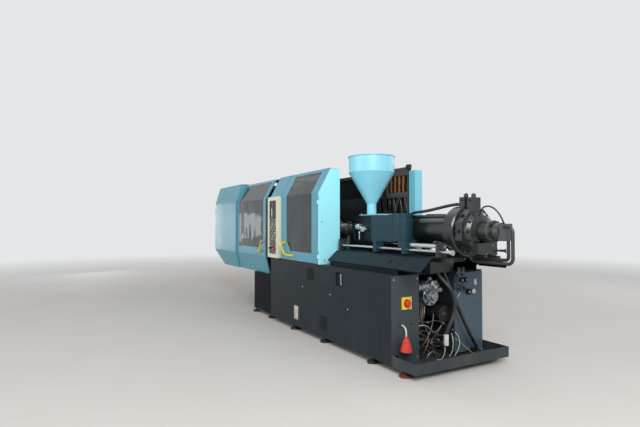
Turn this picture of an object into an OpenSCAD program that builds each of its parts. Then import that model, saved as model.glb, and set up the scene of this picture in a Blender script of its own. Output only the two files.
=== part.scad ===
// Horizontal injection moulding machine with a hydraulic clamp on the left and the injection unit
// on the right.
// X runs from the clamp end to the drive end, -Y is the operator's side and Z is the height over the floor.
// The screw axis lies on Y = 0. Guard outlines give the depth behind the front plane and the height.

/* [Base] */
// Length of the main base
base_len = 2810; // [2760:10:2860]
// Width of the machine over its guards
machine_w = 1235; // [1200:5:1270]
// Height of the deck over the floor
deck_z = 915; // [905:1:925]
// Height of the underside of the base over the floor
foot_h = 60; // [52:1:70]
// Depth of the control cabinet in the base
cabinet_depth = 340; // [320:5:350]
// Width of the left cabinet door
left_door_w = 550; // [520:5:580]
// Thickness of the frame plates
frame_t = 8; // [6:1:10]
// Thickness of the folded sheet
sheet_t = 3; // [2:0.5:4]
// Depth of the folded edges of the sheet
flange_w = 20; // [15:1:24]
// Reach of the drip pan past the base
pan_reach = 332; // [300:5:350]
// Height of the lip of the drip pan
pan_lip = 103; // [80:5:120]
// Diameter of a levelling foot
foot_d = 110; // [90:5:130]

/* [Guards] */
// Height of the upper fold of the guards
fold_z = 1790; // [1760:5:1810]
// Height of the top of the guards
guard_top = 2100; // [2080:5:2120]
// Height of the lower edge of the skirts
skirt_z = 640; // [620:5:660]
// Length of the fixed clamp cover
cover_len = 1190; // [1150:10:1230]
// Length of the sliding guard that shows
slider_len = 1270; // [1240:10:1300]
// Length of the hinged guard
hinged_len = 1030; // [1000:5:1060]
// Thickness of the window panes
pane_t = 5; // [4:0.5:8]
// Width of the operator's terminal
terminal_w = 335; // [325:1:345]
// Distance that the terminal stands out of the front plane
terminal_proud = 50; // [40:1:60]

/* [Clamp unit] */
// Height of the screw axis over the floor
axis_z = 1335; // [1330:1:1345]
// Edge length of the platens
platen_w = 740; // [700:5:750]
// Thickness of the fixed platen
fixed_t = 280; // [240:5:300]
// Thickness of the moving platen
moving_t = 250; // [220:5:270]
// Thickness of the cylinder platen
cylinder_t = 300; // [260:5:320]
// Diameter of the tie bars
tie_d = 80; // [70:1:90]
// Centre distance of the tie bars
tie_pitch = 540; // [520:5:560]
// Distance between the platens at rest
daylight = 740; // [700:5:760]
// Diameter of the clamp ram
ram_d = 320; // [280:5:340]
// Diameter of the locating ring seat in the fixed platen
locating_d = 125; // [110:1:140]
// Centre distance of the mould bolts
mould_pitch = 350; // [320:5:380]
// Diameter of the mould bolt holes
mould_hole_d = 16; // [12:1:20]
// Diameter of the ejector rod
ejector_d = 40; // [30:1:50]

/* [Injection unit] */
// Outer diameter of the barrel
barrel_d = 130; // [115:1:140]
// Diameter of the screw
screw_d = 52; // [45:1:56]
// Diameter of the hopper
hopper_d = 560; // [520:5:600]
// Height of the top of the hopper
hopper_top = 2230; // [2200:5:2250]
// Diameter of the hopper neck
neck_d = 117; // [105:1:125]
// Diameter of the injection drum
drum_d = 476; // [460:2:490]
// Diameter of the hydraulic motor
motor_d = 158; // [145:1:170]
// Diameter of the guide rods of the carriage
rod_d = 30; // [26:1:36]
// Diameter of the carriage cylinders
pull_d = 38; // [36:1:44]
// Diameter of the steel pipes to the motor
pipe_d = 30; // [24:1:34]

/* [Hidden] */
$fn = 48;

// Clearances: run_fit in round fits, seat_gap between bodies that face each other, joint_gap round doors
run_fit = 0.08;
seat_gap = 0.3;
joint_gap = 2;

// Way from the origin, which is the middle of the footprint, to the datum of the stations
frame_shift = 60;

// Stations along the machine
end_x = 2250;
base_x = end_x - base_len;
front_y = -machine_w / 2;
rear_y = machine_w / 2;
guard_end_x = base_x + 1440;
hinged_x1 = guard_end_x - 50;
hinged_x0 = hinged_x1 - hinged_len;
terminal_x1 = hinged_x0 - 28;
terminal_x0 = terminal_x1 - terminal_w;
slider_x1 = terminal_x0 - 265;
cover_x1 = slider_x1 - slider_len;
cover_x0 = cover_x1 - cover_len;
slider_x0 = cover_x1 - 40;
fixed_x1 = terminal_x1 - 252;
fixed_x0 = fixed_x1 - fixed_t;
moving_x1 = fixed_x0 - daylight;
moving_x0 = moving_x1 - moving_t;
cylinder_x1 = moving_x0 - 900;
cylinder_x0 = cylinder_x1 - cylinder_t;
stand_x1 = base_x - 60;
stand_x0 = stand_x1 - 730;
stand_inset = 60;
pan_x0 = 1300;
pan_x1 = end_x + pan_reach;
door_x0 = guard_end_x - 30;
door_x1 = door_x0 + left_door_w;
floor_z = foot_h + frame_t;
under_deck = deck_z - 10;
beam_top = 860;
wall_y = front_y + cabinet_depth;

// Small basic solids
module box(lo, hi) {
    translate(lo) cube(hi - lo);
}

module rod_x(x0, x1, y, z, d) {
    translate([x0, y, z]) rotate([0, 90, 0]) cylinder(h = x1 - x0, d = d);
}

module rod_y(x, y0, y1, z, d) {
    translate([x, y0, z]) rotate([-90, 0, 0]) cylinder(h = y1 - y0, d = d);
}

module rod_z(x, y, z0, z1, d) {
    translate([x, y, z0]) cylinder(h = z1 - z0, d = d);
}

// Extrudes an outline in Y and Z along X
module along_x(x0, x1) {
    translate([x0, 0, 0]) rotate([90, 0, 90]) linear_extrude(x1 - x0) children();
}

// Extrudes an outline in X and Z along Y
module along_y(y0, y1) {
    translate([0, y1, 0]) rotate([90, 0, 0]) linear_extrude(y1 - y0) children();
}

// Revolves an outline of radius and length about the screw axis
module about_axis(x) {
    translate([x, 0, axis_z]) rotate([0, 90, 0]) rotate_extrude() children();
}

module both_sides() {
    children();
    mirror([0, 1, 0]) children();
}

// Sheet metal sections: a folded line gets its thickness on its right-hand side
function unit(v) = v / norm(v);
function right_of(v) = [v[1], -v[0]];
function line_before(p, i) = unit(i > 0 ? p[i] - p[i - 1] : p[1] - p[0]);
function line_after(p, i) = unit(i < len(p) - 1 ? p[i + 1] - p[i] : p[i] - p[i - 1]);
function corner(p, i, t) =
    let (a = right_of(line_before(p, i)), b = right_of(line_after(p, i)), m = unit(a + b))
    p[i] + m * t / (m * a);
function shifted(p, t) = [for (i = [0:len(p) - 1]) corner(p, i, t)];
function strip(p, t) = concat(p, [for (i = [len(p) - 1:-1:0]) corner(p, i, t)]);
function from_front(p) = [for (q = p) [front_y + q[0], q[1]]];
function from_rear(p) = [for (q = p) [rear_y - q[0], q[1]]];

// A closed outline that runs clockwise, made larger by t all round
function ring_before(p, i) = unit(p[i] - p[(i + len(p) - 1) % len(p)]);
function ring_after(p, i) = unit(p[(i + 1) % len(p)] - p[i]);
function grown(p, t) = [for (i = [0:len(p) - 1])
    let (a = -right_of(ring_before(p, i)), b = -right_of(ring_after(p, i)), m = unit(a + b))
    p[i] + m * t / (m * a)];

// Hoses: a curve through two ends with a handle at each, swept with a round section
function bend(a, b, c, d, n) = [for (i = [0:n]) let (t = i / n, s = 1 - t)
    a * s * s * s + b * 3 * s * s * t + c * 3 * s * t * t + d * t * t * t];
function way(p, i) = i == 0 ? unit(p[1] - p[0])
    : i == len(p) - 1 ? unit(p[i] - p[i - 1])
    : unit(unit(p[i + 1] - p[i]) + unit(p[i] - p[i - 1]));

module swept(p, d, side, sides = 10) {
    ring_count = len(p);
    points = [for (i = [0:ring_count - 1])
        let (w = way(p, i), u = unit(cross(side, w)), v = cross(w, u))
        for (k = [0:sides - 1]) p[i] + d / 2 * (cos(360 * k / sides) * u + sin(360 * k / sides) * v)];
    walls = [for (i = [0:ring_count - 2]) for (k = [0:sides - 1])
        [i * sides + k, (i + 1) * sides + k, (i + 1) * sides + (k + 1) % sides,
            i * sides + (k + 1) % sides]];
    start_cap = [for (k = [0:sides - 1]) k];
    end_cap = [for (k = [sides - 1:-1:0]) (ring_count - 1) * sides + k];
    polyhedron(points, concat(walls, [start_cap, end_cap]), convexity = 6);
}

// Base

module louvres(x0, x1, z0, z1, y, depth) {
    pitch = 24;
    slot = 9;
    for (z = [z0:pitch:z1 - slot])
        box([x0, y - 1, z], [x1, y + depth + 1, z + slot]);
}

module bed_frame() {
    color("#30383d") {
        box([base_x, front_y, under_deck], [end_x, rear_y, deck_z]);
        box([base_x, front_y + flange_w + 4, foot_h], [pan_x0, rear_y, floor_z]);
        box([base_x, wall_y - frame_t, floor_z], [end_x - sheet_t, wall_y, under_deck]);
        difference() {
            box([base_x, rear_y - frame_t, floor_z], [pan_x0 + 190, rear_y, under_deck]);
            for (x = [base_x + 300, base_x + 1300])
                louvres(x, x + 180, 716, 850, rear_y - frame_t, frame_t);
        }
        box([base_x, front_y + flange_w + 4, floor_z], [base_x + frame_t, rear_y, under_deck]);
        box([door_x0 - frame_t, front_y + flange_w + 4, floor_z], [door_x0, wall_y, under_deck]);
        box([pan_x0 - frame_t, wall_y, floor_z], [pan_x0, rear_y, under_deck]);
        box([end_x - 60, rear_y - 40, floor_z], [end_x - 10, rear_y, under_deck]);
        for (x = pump_beam_x) {
            box([x, wall_y, pump_foot_z - 70], [x + 60, tank_y0 - 4, pump_foot_z]);
            box([x, tank_y0 - 24, floor_z], [x + 60, tank_y0 - 4, pump_foot_z - 70]);
        }
    }
}

module clamp_stand() {
    wall = 30;
    color("#23292d") {
        difference() {
            box([stand_x0, front_y + stand_inset, foot_h], [stand_x1, rear_y - stand_inset, skirt_z]);
            box([stand_x0 + wall, front_y + stand_inset + wall, foot_h - 1],
                [stand_x1 - wall, rear_y - stand_inset - wall, skirt_z - wall]);
        }
        both_sides()
            box([post_x[0], 220, skirt_z], [base_x, 360, beam_top]);
        for (x = [post_x[0], cover_x1, base_x - 80])
            box([x, -220, skirt_z + 60], [x + 80, 220, beam_top - 40]);
    }
}

module drip_pan() {
    lip_z = foot_h + pan_lip;
    under_w = machine_w - 2 * (flange_w + 4);
    wall = 5;
    color("#3d4a52")
    difference() {
        union() {
            box([end_x + 1, front_y, foot_h], [pan_x1, rear_y, lip_z]);
            box([pan_x0, -under_w / 2, foot_h], [end_x + 1, under_w / 2, floor_z]);
        }
        box([end_x - 1, front_y + wall, floor_z], [pan_x1 - wall, rear_y - wall, lip_z + 1]);
    }
}

module levelling_feet() {
    stand_feet = [for (x = [stand_x0 + 70, stand_x1 - 70]) [x, front_y + stand_inset + 15]];
    base_feet = [for (x = [base_x + 715, base_x + 1510, end_x - 350, end_x + 150]) [x, front_y + 35]];
    pad = 22;
    color("#1c1c1c")
    both_sides()
        for (p = concat(stand_feet, base_feet)) {
            rod_z(p[0], p[1], 0, pad, foot_d);
            rod_z(p[0], p[1], pad, pad + 10, foot_d * 0.6);
            rod_z(p[0], p[1], pad, foot_h, 24);
        }
}

// A flat sheet with folded edges, standing in the front plane
module folded_panel(x0, x1, z0, z1) {
    difference() {
        box([x0, front_y, z0], [x1, front_y + flange_w, z1]);
        box([x0 + sheet_t, front_y + sheet_t, z0 + sheet_t],
            [x1 - sheet_t, front_y + flange_w + 1, z1 - sheet_t]);
    }
}

panel_z0 = foot_h + 4;
panel_z1 = under_deck;
door_z1 = under_deck - seat_gap;

module front_panel() {
    color("#2f383c")
    difference() {
        folded_panel(base_x, door_x0 - joint_gap, panel_z0, panel_z1);
        louvres(base_x + 1123, base_x + 1304, 716, 848, front_y, sheet_t);
    }
}

latch_x0 = door_x1 - 154;
latch_z0 = 707;
latch_w = 147;
latch_h = 152;
latch_depth = 25;
latch_pivot = [latch_x0 + 100, latch_z0 + 122];

module cabinet_door_left() {
    color("#2f383c") {
        difference() {
            folded_panel(door_x0, door_x1 - joint_gap / 2, panel_z0, door_z1);
            louvres(door_x0 + 30, door_x0 + 207, 156, 317, front_y, sheet_t);
            box([latch_x0, front_y - 1, latch_z0], [latch_x0 + latch_w, front_y + 5, latch_z0 + latch_h]);
        }
        difference() {
            box([latch_x0 - 2, front_y, latch_z0 - 2],
                [latch_x0 + latch_w + 2, front_y + latch_depth, latch_z0 + latch_h + 2]);
            box([latch_x0, front_y - 1, latch_z0],
                [latch_x0 + latch_w, front_y + latch_depth - 2, latch_z0 + latch_h]);
            rod_y(latch_pivot[0], front_y, front_y + latch_depth + 1, latch_pivot[1], 12 + 2 * run_fit);
        }
    }
}

// A lever that swings in its dish, with its spindle and the cam behind the door
module latch_handle() {
    face_y = front_y + 6;
    color("silver") {
        along_y(face_y, face_y + 9)
            union() {
                translate(latch_pivot) circle(d = 30);
                polygon([latch_pivot + [-9, 0], latch_pivot + [9, 0], latch_pivot + [8, -80],
                    latch_pivot + [24, -104], latch_pivot + [12, -112], latch_pivot + [-7, -92]]);
            }
        rod_y(latch_pivot[0], face_y + 9, front_y + latch_depth + 12, latch_pivot[1], 12);
        box([latch_pivot[0] - 9, front_y + latch_depth + seat_gap, latch_pivot[1] - 40],
            [latch_pivot[0] + 9, front_y + latch_depth + 6, latch_pivot[1] + 9]);
    }
}

module cabinet_door_right() {
    color("#2f383c")
    folded_panel(door_x1 + joint_gap / 2, end_x - sheet_t - joint_gap, panel_z0, door_z1);
}

switch_y = front_y + 180;
switch_z = 640;
gland_y = front_y + 114;
gland_z = 437;
cord_d = 16;

module end_panel() {
    color("#5d6e7b") {
        difference() {
            union() {
                box([end_x - sheet_t, front_y, floor_z], [end_x, wall_y, under_deck]);
                box([end_x - flange_w, front_y + flange_w + 4, floor_z],
                    [end_x, wall_y - frame_t, floor_z + sheet_t]);
                rod_x(end_x, end_x + 10, gland_y, gland_z, cord_d + 16);
            }
            rod_x(end_x - 5, end_x + 11, gland_y, gland_z, cord_d);
            rod_x(end_x - 5, end_x + 1, front_y + 64, 136, 40);
            rod_x(end_x - 5, end_x + 1, front_y + 239, 433, 16);
            rod_x(end_x - 5, end_x + 1, switch_y, switch_z, 20 + 2 * run_fit);
        }
    }
}

module main_switch_plate() {
    size = 118;
    color("#e8c21c")
    difference() {
        box([end_x, switch_y - size / 2, switch_z - size / 2],
            [end_x + 10, switch_y + size / 2, switch_z + size / 2]);
        rod_x(end_x - 1, end_x + 11, switch_y, switch_z, 20 + 2 * run_fit);
    }
}

module main_switch_handle() {
    color("#c8281e") {
        rod_x(end_x + 10 + seat_gap, end_x + 26, switch_y, switch_z, 64);
        box([end_x + 20, switch_y - 11, switch_z - 38], [end_x + 48, switch_y + 11, switch_z + 38]);
        rod_x(end_x - 20, end_x + 20, switch_y, switch_z, 20);
    }
}

// The supply cord from the gland to the plug
cord_route = [[end_x + 10, gland_y, 437], [end_x + 30, gland_y, 435], [end_x + 50, gland_y, 427],
    [end_x + 66, gland_y, 411], [end_x + 74, gland_y, 391], [end_x + 76, gland_y, 369],
    [end_x + 76, gland_y, 345]];

module supply_cord() {
    color("#c9c9c4") swept(cord_route, cord_d, [0, 1, 0], 12);
}

module supply_plug() {
    top = cord_route[len(cord_route) - 1];
    color("#c8322c")
    translate([top[0], top[1], 0])
    difference() {
        rotate_extrude()
            polygon([[0, 345], [13, 345], [15, 330], [24, 326], [30, 300], [40, 292], [42, 262], [48, 256],
                [48, 246], [52, 242], [56, 206], [56, 203], [46, 203], [46, 225], [0, 225]]);
        for (a = [0:30:330])
            rotate(a) translate([47, 0, 256]) cylinder(h = 40, d = 9);
    }
}

// Mounting plate with rails, contactors and trunking behind the cabinet doors
module switchgear() {
    x0 = door_x0 + 60;
    x1 = end_x - 70;
    plate_y = wall_y - frame_t;
    rails = [180, 360, 560, 760];
    pitch = (x1 - x0 - 80) / 9;
    color("#b9bcb8") {
        box([x0, plate_y - 6, 110], [x1, plate_y, 880]);
        for (z = rails) {
            box([x0 + 30, plate_y - 14, z - 18], [x1 - 30, plate_y - 6, z + 18]);
            for (k = [0:8])
                box([x0 + 50 + k * pitch, plate_y - 100 + (k % 3) * 14, z - 48],
                    [x0 + 50 + (k + 0.8) * pitch, plate_y - 14, z + 48]);
        }
        for (z = [270, 460, 660])
            box([x0 + 30, plate_y - 66, z - 24], [x1 - 30, plate_y - 6, z + 24]);
    }
}

// Injection bed, its rods and the covers beside it

rod_y_at = 360;
rod_z_at = 1148;
rod_end_x = 2762;
bed_top = 1050;
bed_x0 = 960;
bed_x1 = end_x + 22;
bed_half = 170;
beam_y0 = 290;
beam_y1 = 335;
beam_z = 1097;
beam_x1 = 2720;
bracket_w = 30;
cover_lip = [[80, deck_z], [80, deck_z + 46]];
cover_slope = [[45, deck_z + 58], [170, 1085], [245, beam_z + sheet_t], [beam_y1 - 5, beam_z + sheet_t]];
bracket_reach = bed_x0 + bracket_w + 2;
slope_gap = 2;
slope_x1 = end_x + 353;
pull_y = 317;
pull_z = 1195;
pull_x = 2605;
pull_rod_d = 22;

// Sloping drip sheets in two lengths, the left one with a slot
module slope_pair(x0) {
    right_lip = [[58, deck_z + 44]];
    slot_w = 20;
    slot_len = 50;
    difference() {
        along_x(x0, end_x - slope_gap)
            polygon(strip(from_front(concat(cover_lip, cover_slope)), sheet_t));
        translate([end_x - 150, front_y + 105, 1030]) rotate([-43, 0, 0]) {
            for (y = [-slot_len / 2, slot_len / 2])
                translate([0, y, -20]) cylinder(h = 40, d = slot_w);
            translate([-slot_w / 2, -slot_len / 2, -20]) cube([slot_w, slot_len, 40]);
        }
    }
    along_x(end_x + slope_gap, slope_x1)
        polygon(strip(from_front(concat(right_lip, cover_slope)), sheet_t));
}

module slope_covers() {
    color("#20292d") {
        slope_pair(bracket_reach);
        mirror([0, 1, 0]) slope_pair(rack_cover_x1 + 4);
    }
}

// Bracket that holds a guide rod and, at the right, the rod of a carriage cylinder
module rod_bracket(x) {
    difference() {
        box([x, -395, beam_z], [x + bracket_w, -beam_y0, 1225]);
        rod_x(x - 1, x + bracket_w + 1, -rod_y_at, rod_z_at, rod_d + 2 * run_fit);
        rod_x(x - 1, x + bracket_w + 1, -pull_y, pull_z, pull_rod_d + 2 * run_fit);
    }
}

module injection_bed() {
    cross_x = [bed_x0, 1560, bed_x1 - 90];
    color("#1d2327") {
        box([bed_x0, -bed_half, deck_z], [bed_x1, bed_half, bed_top]);
        both_sides() {
            box([bed_x0, -beam_y1, beam_z - 47], [beam_x1, -beam_y0, beam_z]);
            for (x = cross_x)
                box([x, -beam_y1, bed_top - 40], [x + 90, -bed_half, beam_z - 47]);
            rod_bracket(bed_x0);
            rod_bracket(pull_x);
        }
        box([bed_x1, -bed_half, deck_z - 5], [bed_x1 + 26, -bed_half + 42, bed_top]);
    }
}

module guide_rods() {
    color("#d5d8da")
    both_sides() {
        rod_x(bed_x0, rod_end_x, -rod_y_at, rod_z_at, rod_d);
        rod_x(rod_end_x, rod_end_x + 20, -rod_y_at, rod_z_at, rod_d + 18);
    }
}

module carriage_rods() {
    color("#d5d8da")
    both_sides()
        rod_x(arm_x1 + foot_len + 12, pull_x + bracket_w + 12, -pull_y, pull_z, pull_rod_d);
}

// Clamp unit

module at_tie_bars() {
    for (y = [-1, 1], z = [-1, 1])
        translate([0, y * tie_pitch / 2, axis_z + z * tie_pitch / 2]) children();
}

module at_mould_bolts() {
    for (y = [-1, 1], z = [-1, 1])
        translate([0, y * mould_pitch / 2, axis_z + z * mould_pitch / 2]) children();
}

// Cast plate with cut corners and two feet that stand on the beams
module platen_body(x0, x1, foot_gap, foot_x1) {
    half = platen_w / 2;
    cut = 70;
    along_x(x0, x1)
        translate([0, axis_z])
        polygon([[-half + cut, -half], [half - cut, -half], [half, -half + cut], [half, half - cut],
            [half - cut, half], [-half + cut, half], [-half, half - cut], [-half, -half + cut]]);
    both_sides()
        box([x0, 230, beam_top + foot_gap], [foot_x1, 300, axis_z - half + 10]);
}

module fixed_platen() {
    sprue_d = 60;
    nozzle_d = 170;
    color("#9aa3a0")
    difference() {
        platen_body(fixed_x0, fixed_x1, 0, base_x - 1);
        at_tie_bars() rod_x(fixed_x0 - 1, fixed_x1 + 1, 0, 0, tie_d + 2 * run_fit);
        at_mould_bolts() rod_x(fixed_x0 - 1, fixed_x0 + 40, 0, 0, mould_hole_d);
        rod_x(fixed_x0 - 1, fixed_x0 + 25, 0, axis_z, locating_d);
        rod_x(fixed_x0 - 1, fixed_x1 + 1, 0, axis_z, sprue_d);
        rod_x(fixed_x0 + 90, fixed_x1 + 1, 0, axis_z, nozzle_d);
    }
}

module moving_platen() {
    rib = 40;
    pocket = 150;
    color("#9aa3a0")
    difference() {
        platen_body(moving_x0, moving_x1, seat_gap, moving_x1);
        at_tie_bars() rod_x(moving_x0 - 1, moving_x1 + 1, 0, 0, tie_d + 2 * run_fit);
        at_mould_bolts() rod_x(moving_x1 - 40, moving_x1 + 1, 0, 0, mould_hole_d);
        rod_x(moving_x0 - 1, moving_x1 + 1, 0, axis_z, ejector_d + 2 * run_fit);
        for (y = [-1, 1]) {
            box([moving_x0 - 1, y * 270 - 60, axis_z - pocket / 2],
                [moving_x1 - 70, y * 270 + 60, axis_z + pocket / 2]);
            box([moving_x0 - 1, y * (pocket + rib) / 2 - pocket / 2, axis_z + 215],
                [moving_x1 - 70, y * (pocket + rib) / 2 + pocket / 2, axis_z + 320]);
        }
    }
}

barrel_len = 200;

module cylinder_platen() {
    color("#9aa3a0")
    difference() {
        union() {
            platen_body(cylinder_x0, cylinder_x1, 0, cylinder_x1);
            rod_x(cylinder_x0 - barrel_len, cylinder_x0, 0, axis_z, ram_d + 110);
            rod_x(cylinder_x0 - barrel_len - 20, cylinder_x0 - barrel_len, 0, axis_z, ram_d + 60);
        }
        rod_x(cylinder_x0 - barrel_len + 30, cylinder_x1 + 1, 0, axis_z, ram_d + 2 * run_fit);
        at_tie_bars() rod_x(cylinder_x0 - 1, cylinder_x1 + 1, 0, 0, tie_d + 2 * run_fit);
    }
}

module clamp_ram() {
    bore = ram_d - 100;
    color("#c9cdcf")
    difference() {
        rod_x(cylinder_x0 - barrel_len + 40, moving_x0, 0, axis_z, ram_d);
        rod_x(cylinder_x0 - barrel_len + 39, moving_x0 - 60, 0, axis_z, bore);
    }
}

module ejector_rod() {
    color("#c9cdcf") {
        rod_x(moving_x0 + 10, moving_x1 - 6, 0, axis_z, ejector_d);
    }
}

nut_t = 88;

module tie_bars() {
    color("#c3c7c9")
    at_tie_bars() rod_x(cylinder_x0 - nut_t - 10, fixed_x1 + nut_t + 10, 0, 0, tie_d);
}

module tie_bar_nuts() {
    color("#5b6163")
    at_tie_bars()
        for (x = [cylinder_x0 - nut_t, fixed_x1])
            difference() {
                rod_x(x, x + nut_t, 0, 0, tie_d + 56);
                rod_x(x - 1, x + nut_t + 1, 0, 0, tie_d + 2 * run_fit);
                for (a = [45:90:315])
                    rotate([a, 0, 0]) rod_x(x + 20, x + nut_t - 20, 0, (tie_d + 56) / 2, 14);
            }
}

// Guards

skirt_in = 66;
skirt_top = deck_z;
slide_gap = 25;
cover_lean = 100;
door_lean = 170;
lip = 45;
corner_cut = 430;
cover_top = guard_top + 12;
cover_line = [[skirt_in, skirt_z], [0, skirt_top], [0, fold_z], [cover_lean, cover_top]];
slider_line = [[skirt_in + slide_gap + 2, skirt_z + 2], [slide_gap, skirt_top], [slide_gap, fold_z],
    [door_lean + slide_gap, guard_top - 5], [door_lean + slide_gap + lip, guard_top - 5]];
hinged_line = [[40, deck_z + 5], [0, deck_z + 5], [0, fold_z], [door_lean, guard_top],
    [door_lean + lip, guard_top]];

module clamp_cover() {
    outline = concat(from_front(cover_line), [for (i = [len(cover_line) - 1:-1:0])
        from_rear(cover_line)[i]]);
    past_slider = shifted(slider_line, -4);
    edge_fold = concat(cover_line, [for (i = [3:-1:0]) past_slider[i]]);
    color("#5b9db0")
    difference() {
        union() {
            along_x(cover_x0, cover_x1) polygon(strip(outline, sheet_t));
            along_x(cover_x0, cover_x0 + sheet_t)
                polygon([for (i = [1:len(outline) - 2]) outline[i]]);
            along_x(cover_x1 - sheet_t, cover_x1) polygon(from_front(edge_fold));
        }
        both_sides()
            along_y(front_y - 1, front_y + skirt_in + 10)
                polygon([[cover_x0 - 1, skirt_z - 1], [cover_x0 + corner_cut, skirt_z - 1],
                    [cover_x0 - 1, skirt_top]]);
        along_y(front_y - 1, front_y + 60)
            polygon([[cover_x0 - 1, 1690], [cover_x0 + 55, 1690], [cover_x0 + 55, fold_z - 2],
                [cover_x0 - 1, fold_z - 2]]);
        for (z = [960:40:1240])
            box([cover_x0 - 1, -250, z], [cover_x0 + sheet_t + 1, 250, z + 14]);
    }
}

slider_window = [[cover_x1 + 100, 1035], [cover_x1 + 100, 2055], [slider_x1 - 82, 2055],
    [slider_x1 - 82, 1120], [slider_x1 - 230, 1035]];
hinged_window_line = [[hinged_x0 + 163, 1184], [hinged_x0 + 163, 2060], [hinged_x1 - 150, 2060],
    [hinged_x1 - 150, 1040], [hinged_x0 + 291, 1040]];

// Folded guard with a return along each upright edge and one window
module guard_panel(line, x0, x1, window) {
    edge = [for (i = [0:len(line) - 2]) line[i]];
    difference() {
        union() {
            along_x(x0, x1) polygon(strip(from_front(line), sheet_t));
            along_x(x0, x0 + sheet_t) polygon(strip(from_front(edge), flange_w));
            along_x(x1 - sheet_t, x1) polygon(strip(from_front(edge), flange_w));
        }
        along_y(front_y - 10, front_y + 300) polygon(window);
    }
}

module pane(line, window) {
    inner = shifted(from_front(line), sheet_t);
    intersection() {
        along_x(cover_x0, guard_end_x) polygon(strip(inner, pane_t));
        along_y(front_y - 10, front_y + 300) polygon(grown(window, 14));
    }
}

// A bow handle: a round tube whose two ends turn back to the sheet
module bow_handle(a, b, c, d, y) {
    out = 60;
    tube = 26;
    foot = 12;
    route = concat(
        bend([a[0], y - 1, a[1]], [a[0], y - out, a[1]], [a[0], y - out, a[1]], [b[0], y - out, b[1]], 8),
        bend([b[0], y - out, b[1]], [b[0] * 0.5 + c[0] * 0.5, y - out, b[1] * 0.3 + c[1] * 0.7],
            [b[0] * 0.3 + c[0] * 0.7, y - out, c[1]], [c[0], y - out, c[1]], 6));
    swept([for (i = [0:len(route) - 1]) if (i != 9) route[i]], tube, [0.3, 0.1, 1], 10);
    swept(bend([c[0] - 4 * sign(c[0] - b[0]), y - out, c[1]], [d[0], y - out, c[1]], [d[0], y - out, d[1]],
        [d[0], y - 1, d[1]], 8), tube, [0.1, 0.2, 1], 10);
    for (p = [a, d])
        rod_y(p[0], y - foot, y, p[1], tube + 14);
}

module sliding_guard() {
    color("#5b9db0") guard_panel(slider_line, slider_x0, slider_x1, slider_window);
}

module sliding_window() {
    color([0.75, 0.8, 0.82, 0.4]) pane(slider_line, slider_window);
}

module sliding_handle() {
    color("#e8d820")
    bow_handle([slider_x1 - 34, 1150], [slider_x1 - 50, 1110], [slider_x1 - 110, 985],
        [slider_x1 - 205, 980],
        front_y + slide_gap);
}

hinge_x = guard_end_x - 27;
hinge_y = front_y - 9;
hinge_z = [1030, 1690];
hinge_d = 18;
knuckle = 45;

module hinged_guard() {
    color("#5b9db0") {
        guard_panel(hinged_line, hinged_x0, hinged_x1, hinged_window_line);
        for (z = hinge_z)
            difference() {
                union() {
                    rod_z(hinge_x, hinge_y, z + seat_gap, z + knuckle, hinge_d);
                    box([hinged_x1 - 40, front_y - 5, z + seat_gap], [hinge_x, front_y, z + knuckle]);
                }
                rod_z(hinge_x, hinge_y, z - 1, z + knuckle + 1, 10 + 2 * run_fit);
            }
    }
}

module hinged_window() {
    color([0.75, 0.8, 0.82, 0.4]) pane(hinged_line, hinged_window_line);
}

module hinged_handle() {
    color("#e8d820")
    bow_handle([hinged_x0 + 118, 1150], [hinged_x0 + 118, 1100], [hinged_x0 + 250, 992],
        [hinged_x0 + 345, 985], front_y);
}

end_plate_line = [[0, deck_z], [0, fold_z - 10], [door_lean, guard_top - 12], [290, guard_top - 12]];

module guard_end_plate() {
    outline = from_front(concat(end_plate_line, [[290, deck_z]]));
    flange_line = [for (i = [0:2]) end_plate_line[i]];
    color("#7fc4d6") {
        along_x(guard_end_x - sheet_t, guard_end_x) polygon(outline);
        along_x(hinged_x1 + 12, guard_end_x) polygon(strip(from_front(flange_line), sheet_t));
        box([guard_end_x - 40, front_y + 287, deck_z], [guard_end_x, front_y + 290, guard_top - 12]);
        for (z = hinge_z) {
            rod_z(hinge_x, hinge_y, z - knuckle, z, hinge_d);
            rod_z(hinge_x, hinge_y, z, z + knuckle, 10);
            box([hinge_x, front_y - 5, z - knuckle], [guard_end_x, front_y, z]);
        }
        rod_x(guard_end_x, guard_end_x + 14, front_y + 241, 1053, 22);
        rod_x(guard_end_x + 14, guard_end_x + 34, front_y + 241, 1053, 46);
    }
}

// The hinged guard needs this gap to swing out beside the centre guard
swing_x = hinged_x0 - 12;

module centre_guard() {
    line = [[0, fold_z + 6], [door_lean - 3, guard_top], [door_lean + lip, guard_top]];
    color("#5b9db0") {
        along_x(terminal_x0 - 20, swing_x) polygon(strip(from_front(line), sheet_t));
        for (x = [terminal_x0 - 20, swing_x - sheet_t])
            along_x(x, x + sheet_t) polygon(strip(from_front(line), flange_w));
    }
}

rear_x1 = 695;

module rear_guard() {
    line = [[40, deck_z], [0, deck_z], [0, fold_z], [door_lean, guard_top], [door_lean + lip, guard_top]];
    x0 = cover_x1 + 2;
    skirt = [[skirt_in, skirt_z], [0, skirt_top + 2]];
    color("#5b9db0") {
        mirror([0, 1, 0]) {
            along_x(x0, rear_x1) polygon(strip(from_front(line), sheet_t));
            along_x(x0, x0 + sheet_t) polygon(strip(from_front(line), flange_w));
            along_x(rear_x1 - sheet_t, rear_x1) polygon(strip(from_front(line), flange_w));
            along_x(x0, base_x - 2) polygon(strip(from_front(skirt), sheet_t));
        }
    }
}

frame_w = 40;
rail_y = door_lean + slide_gap + 20;
frame_y = 30;
post_x = [cylinder_x0 - 60, cover_x1 - 60, slider_x1 + 12, hinged_x1 + 7];

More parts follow.
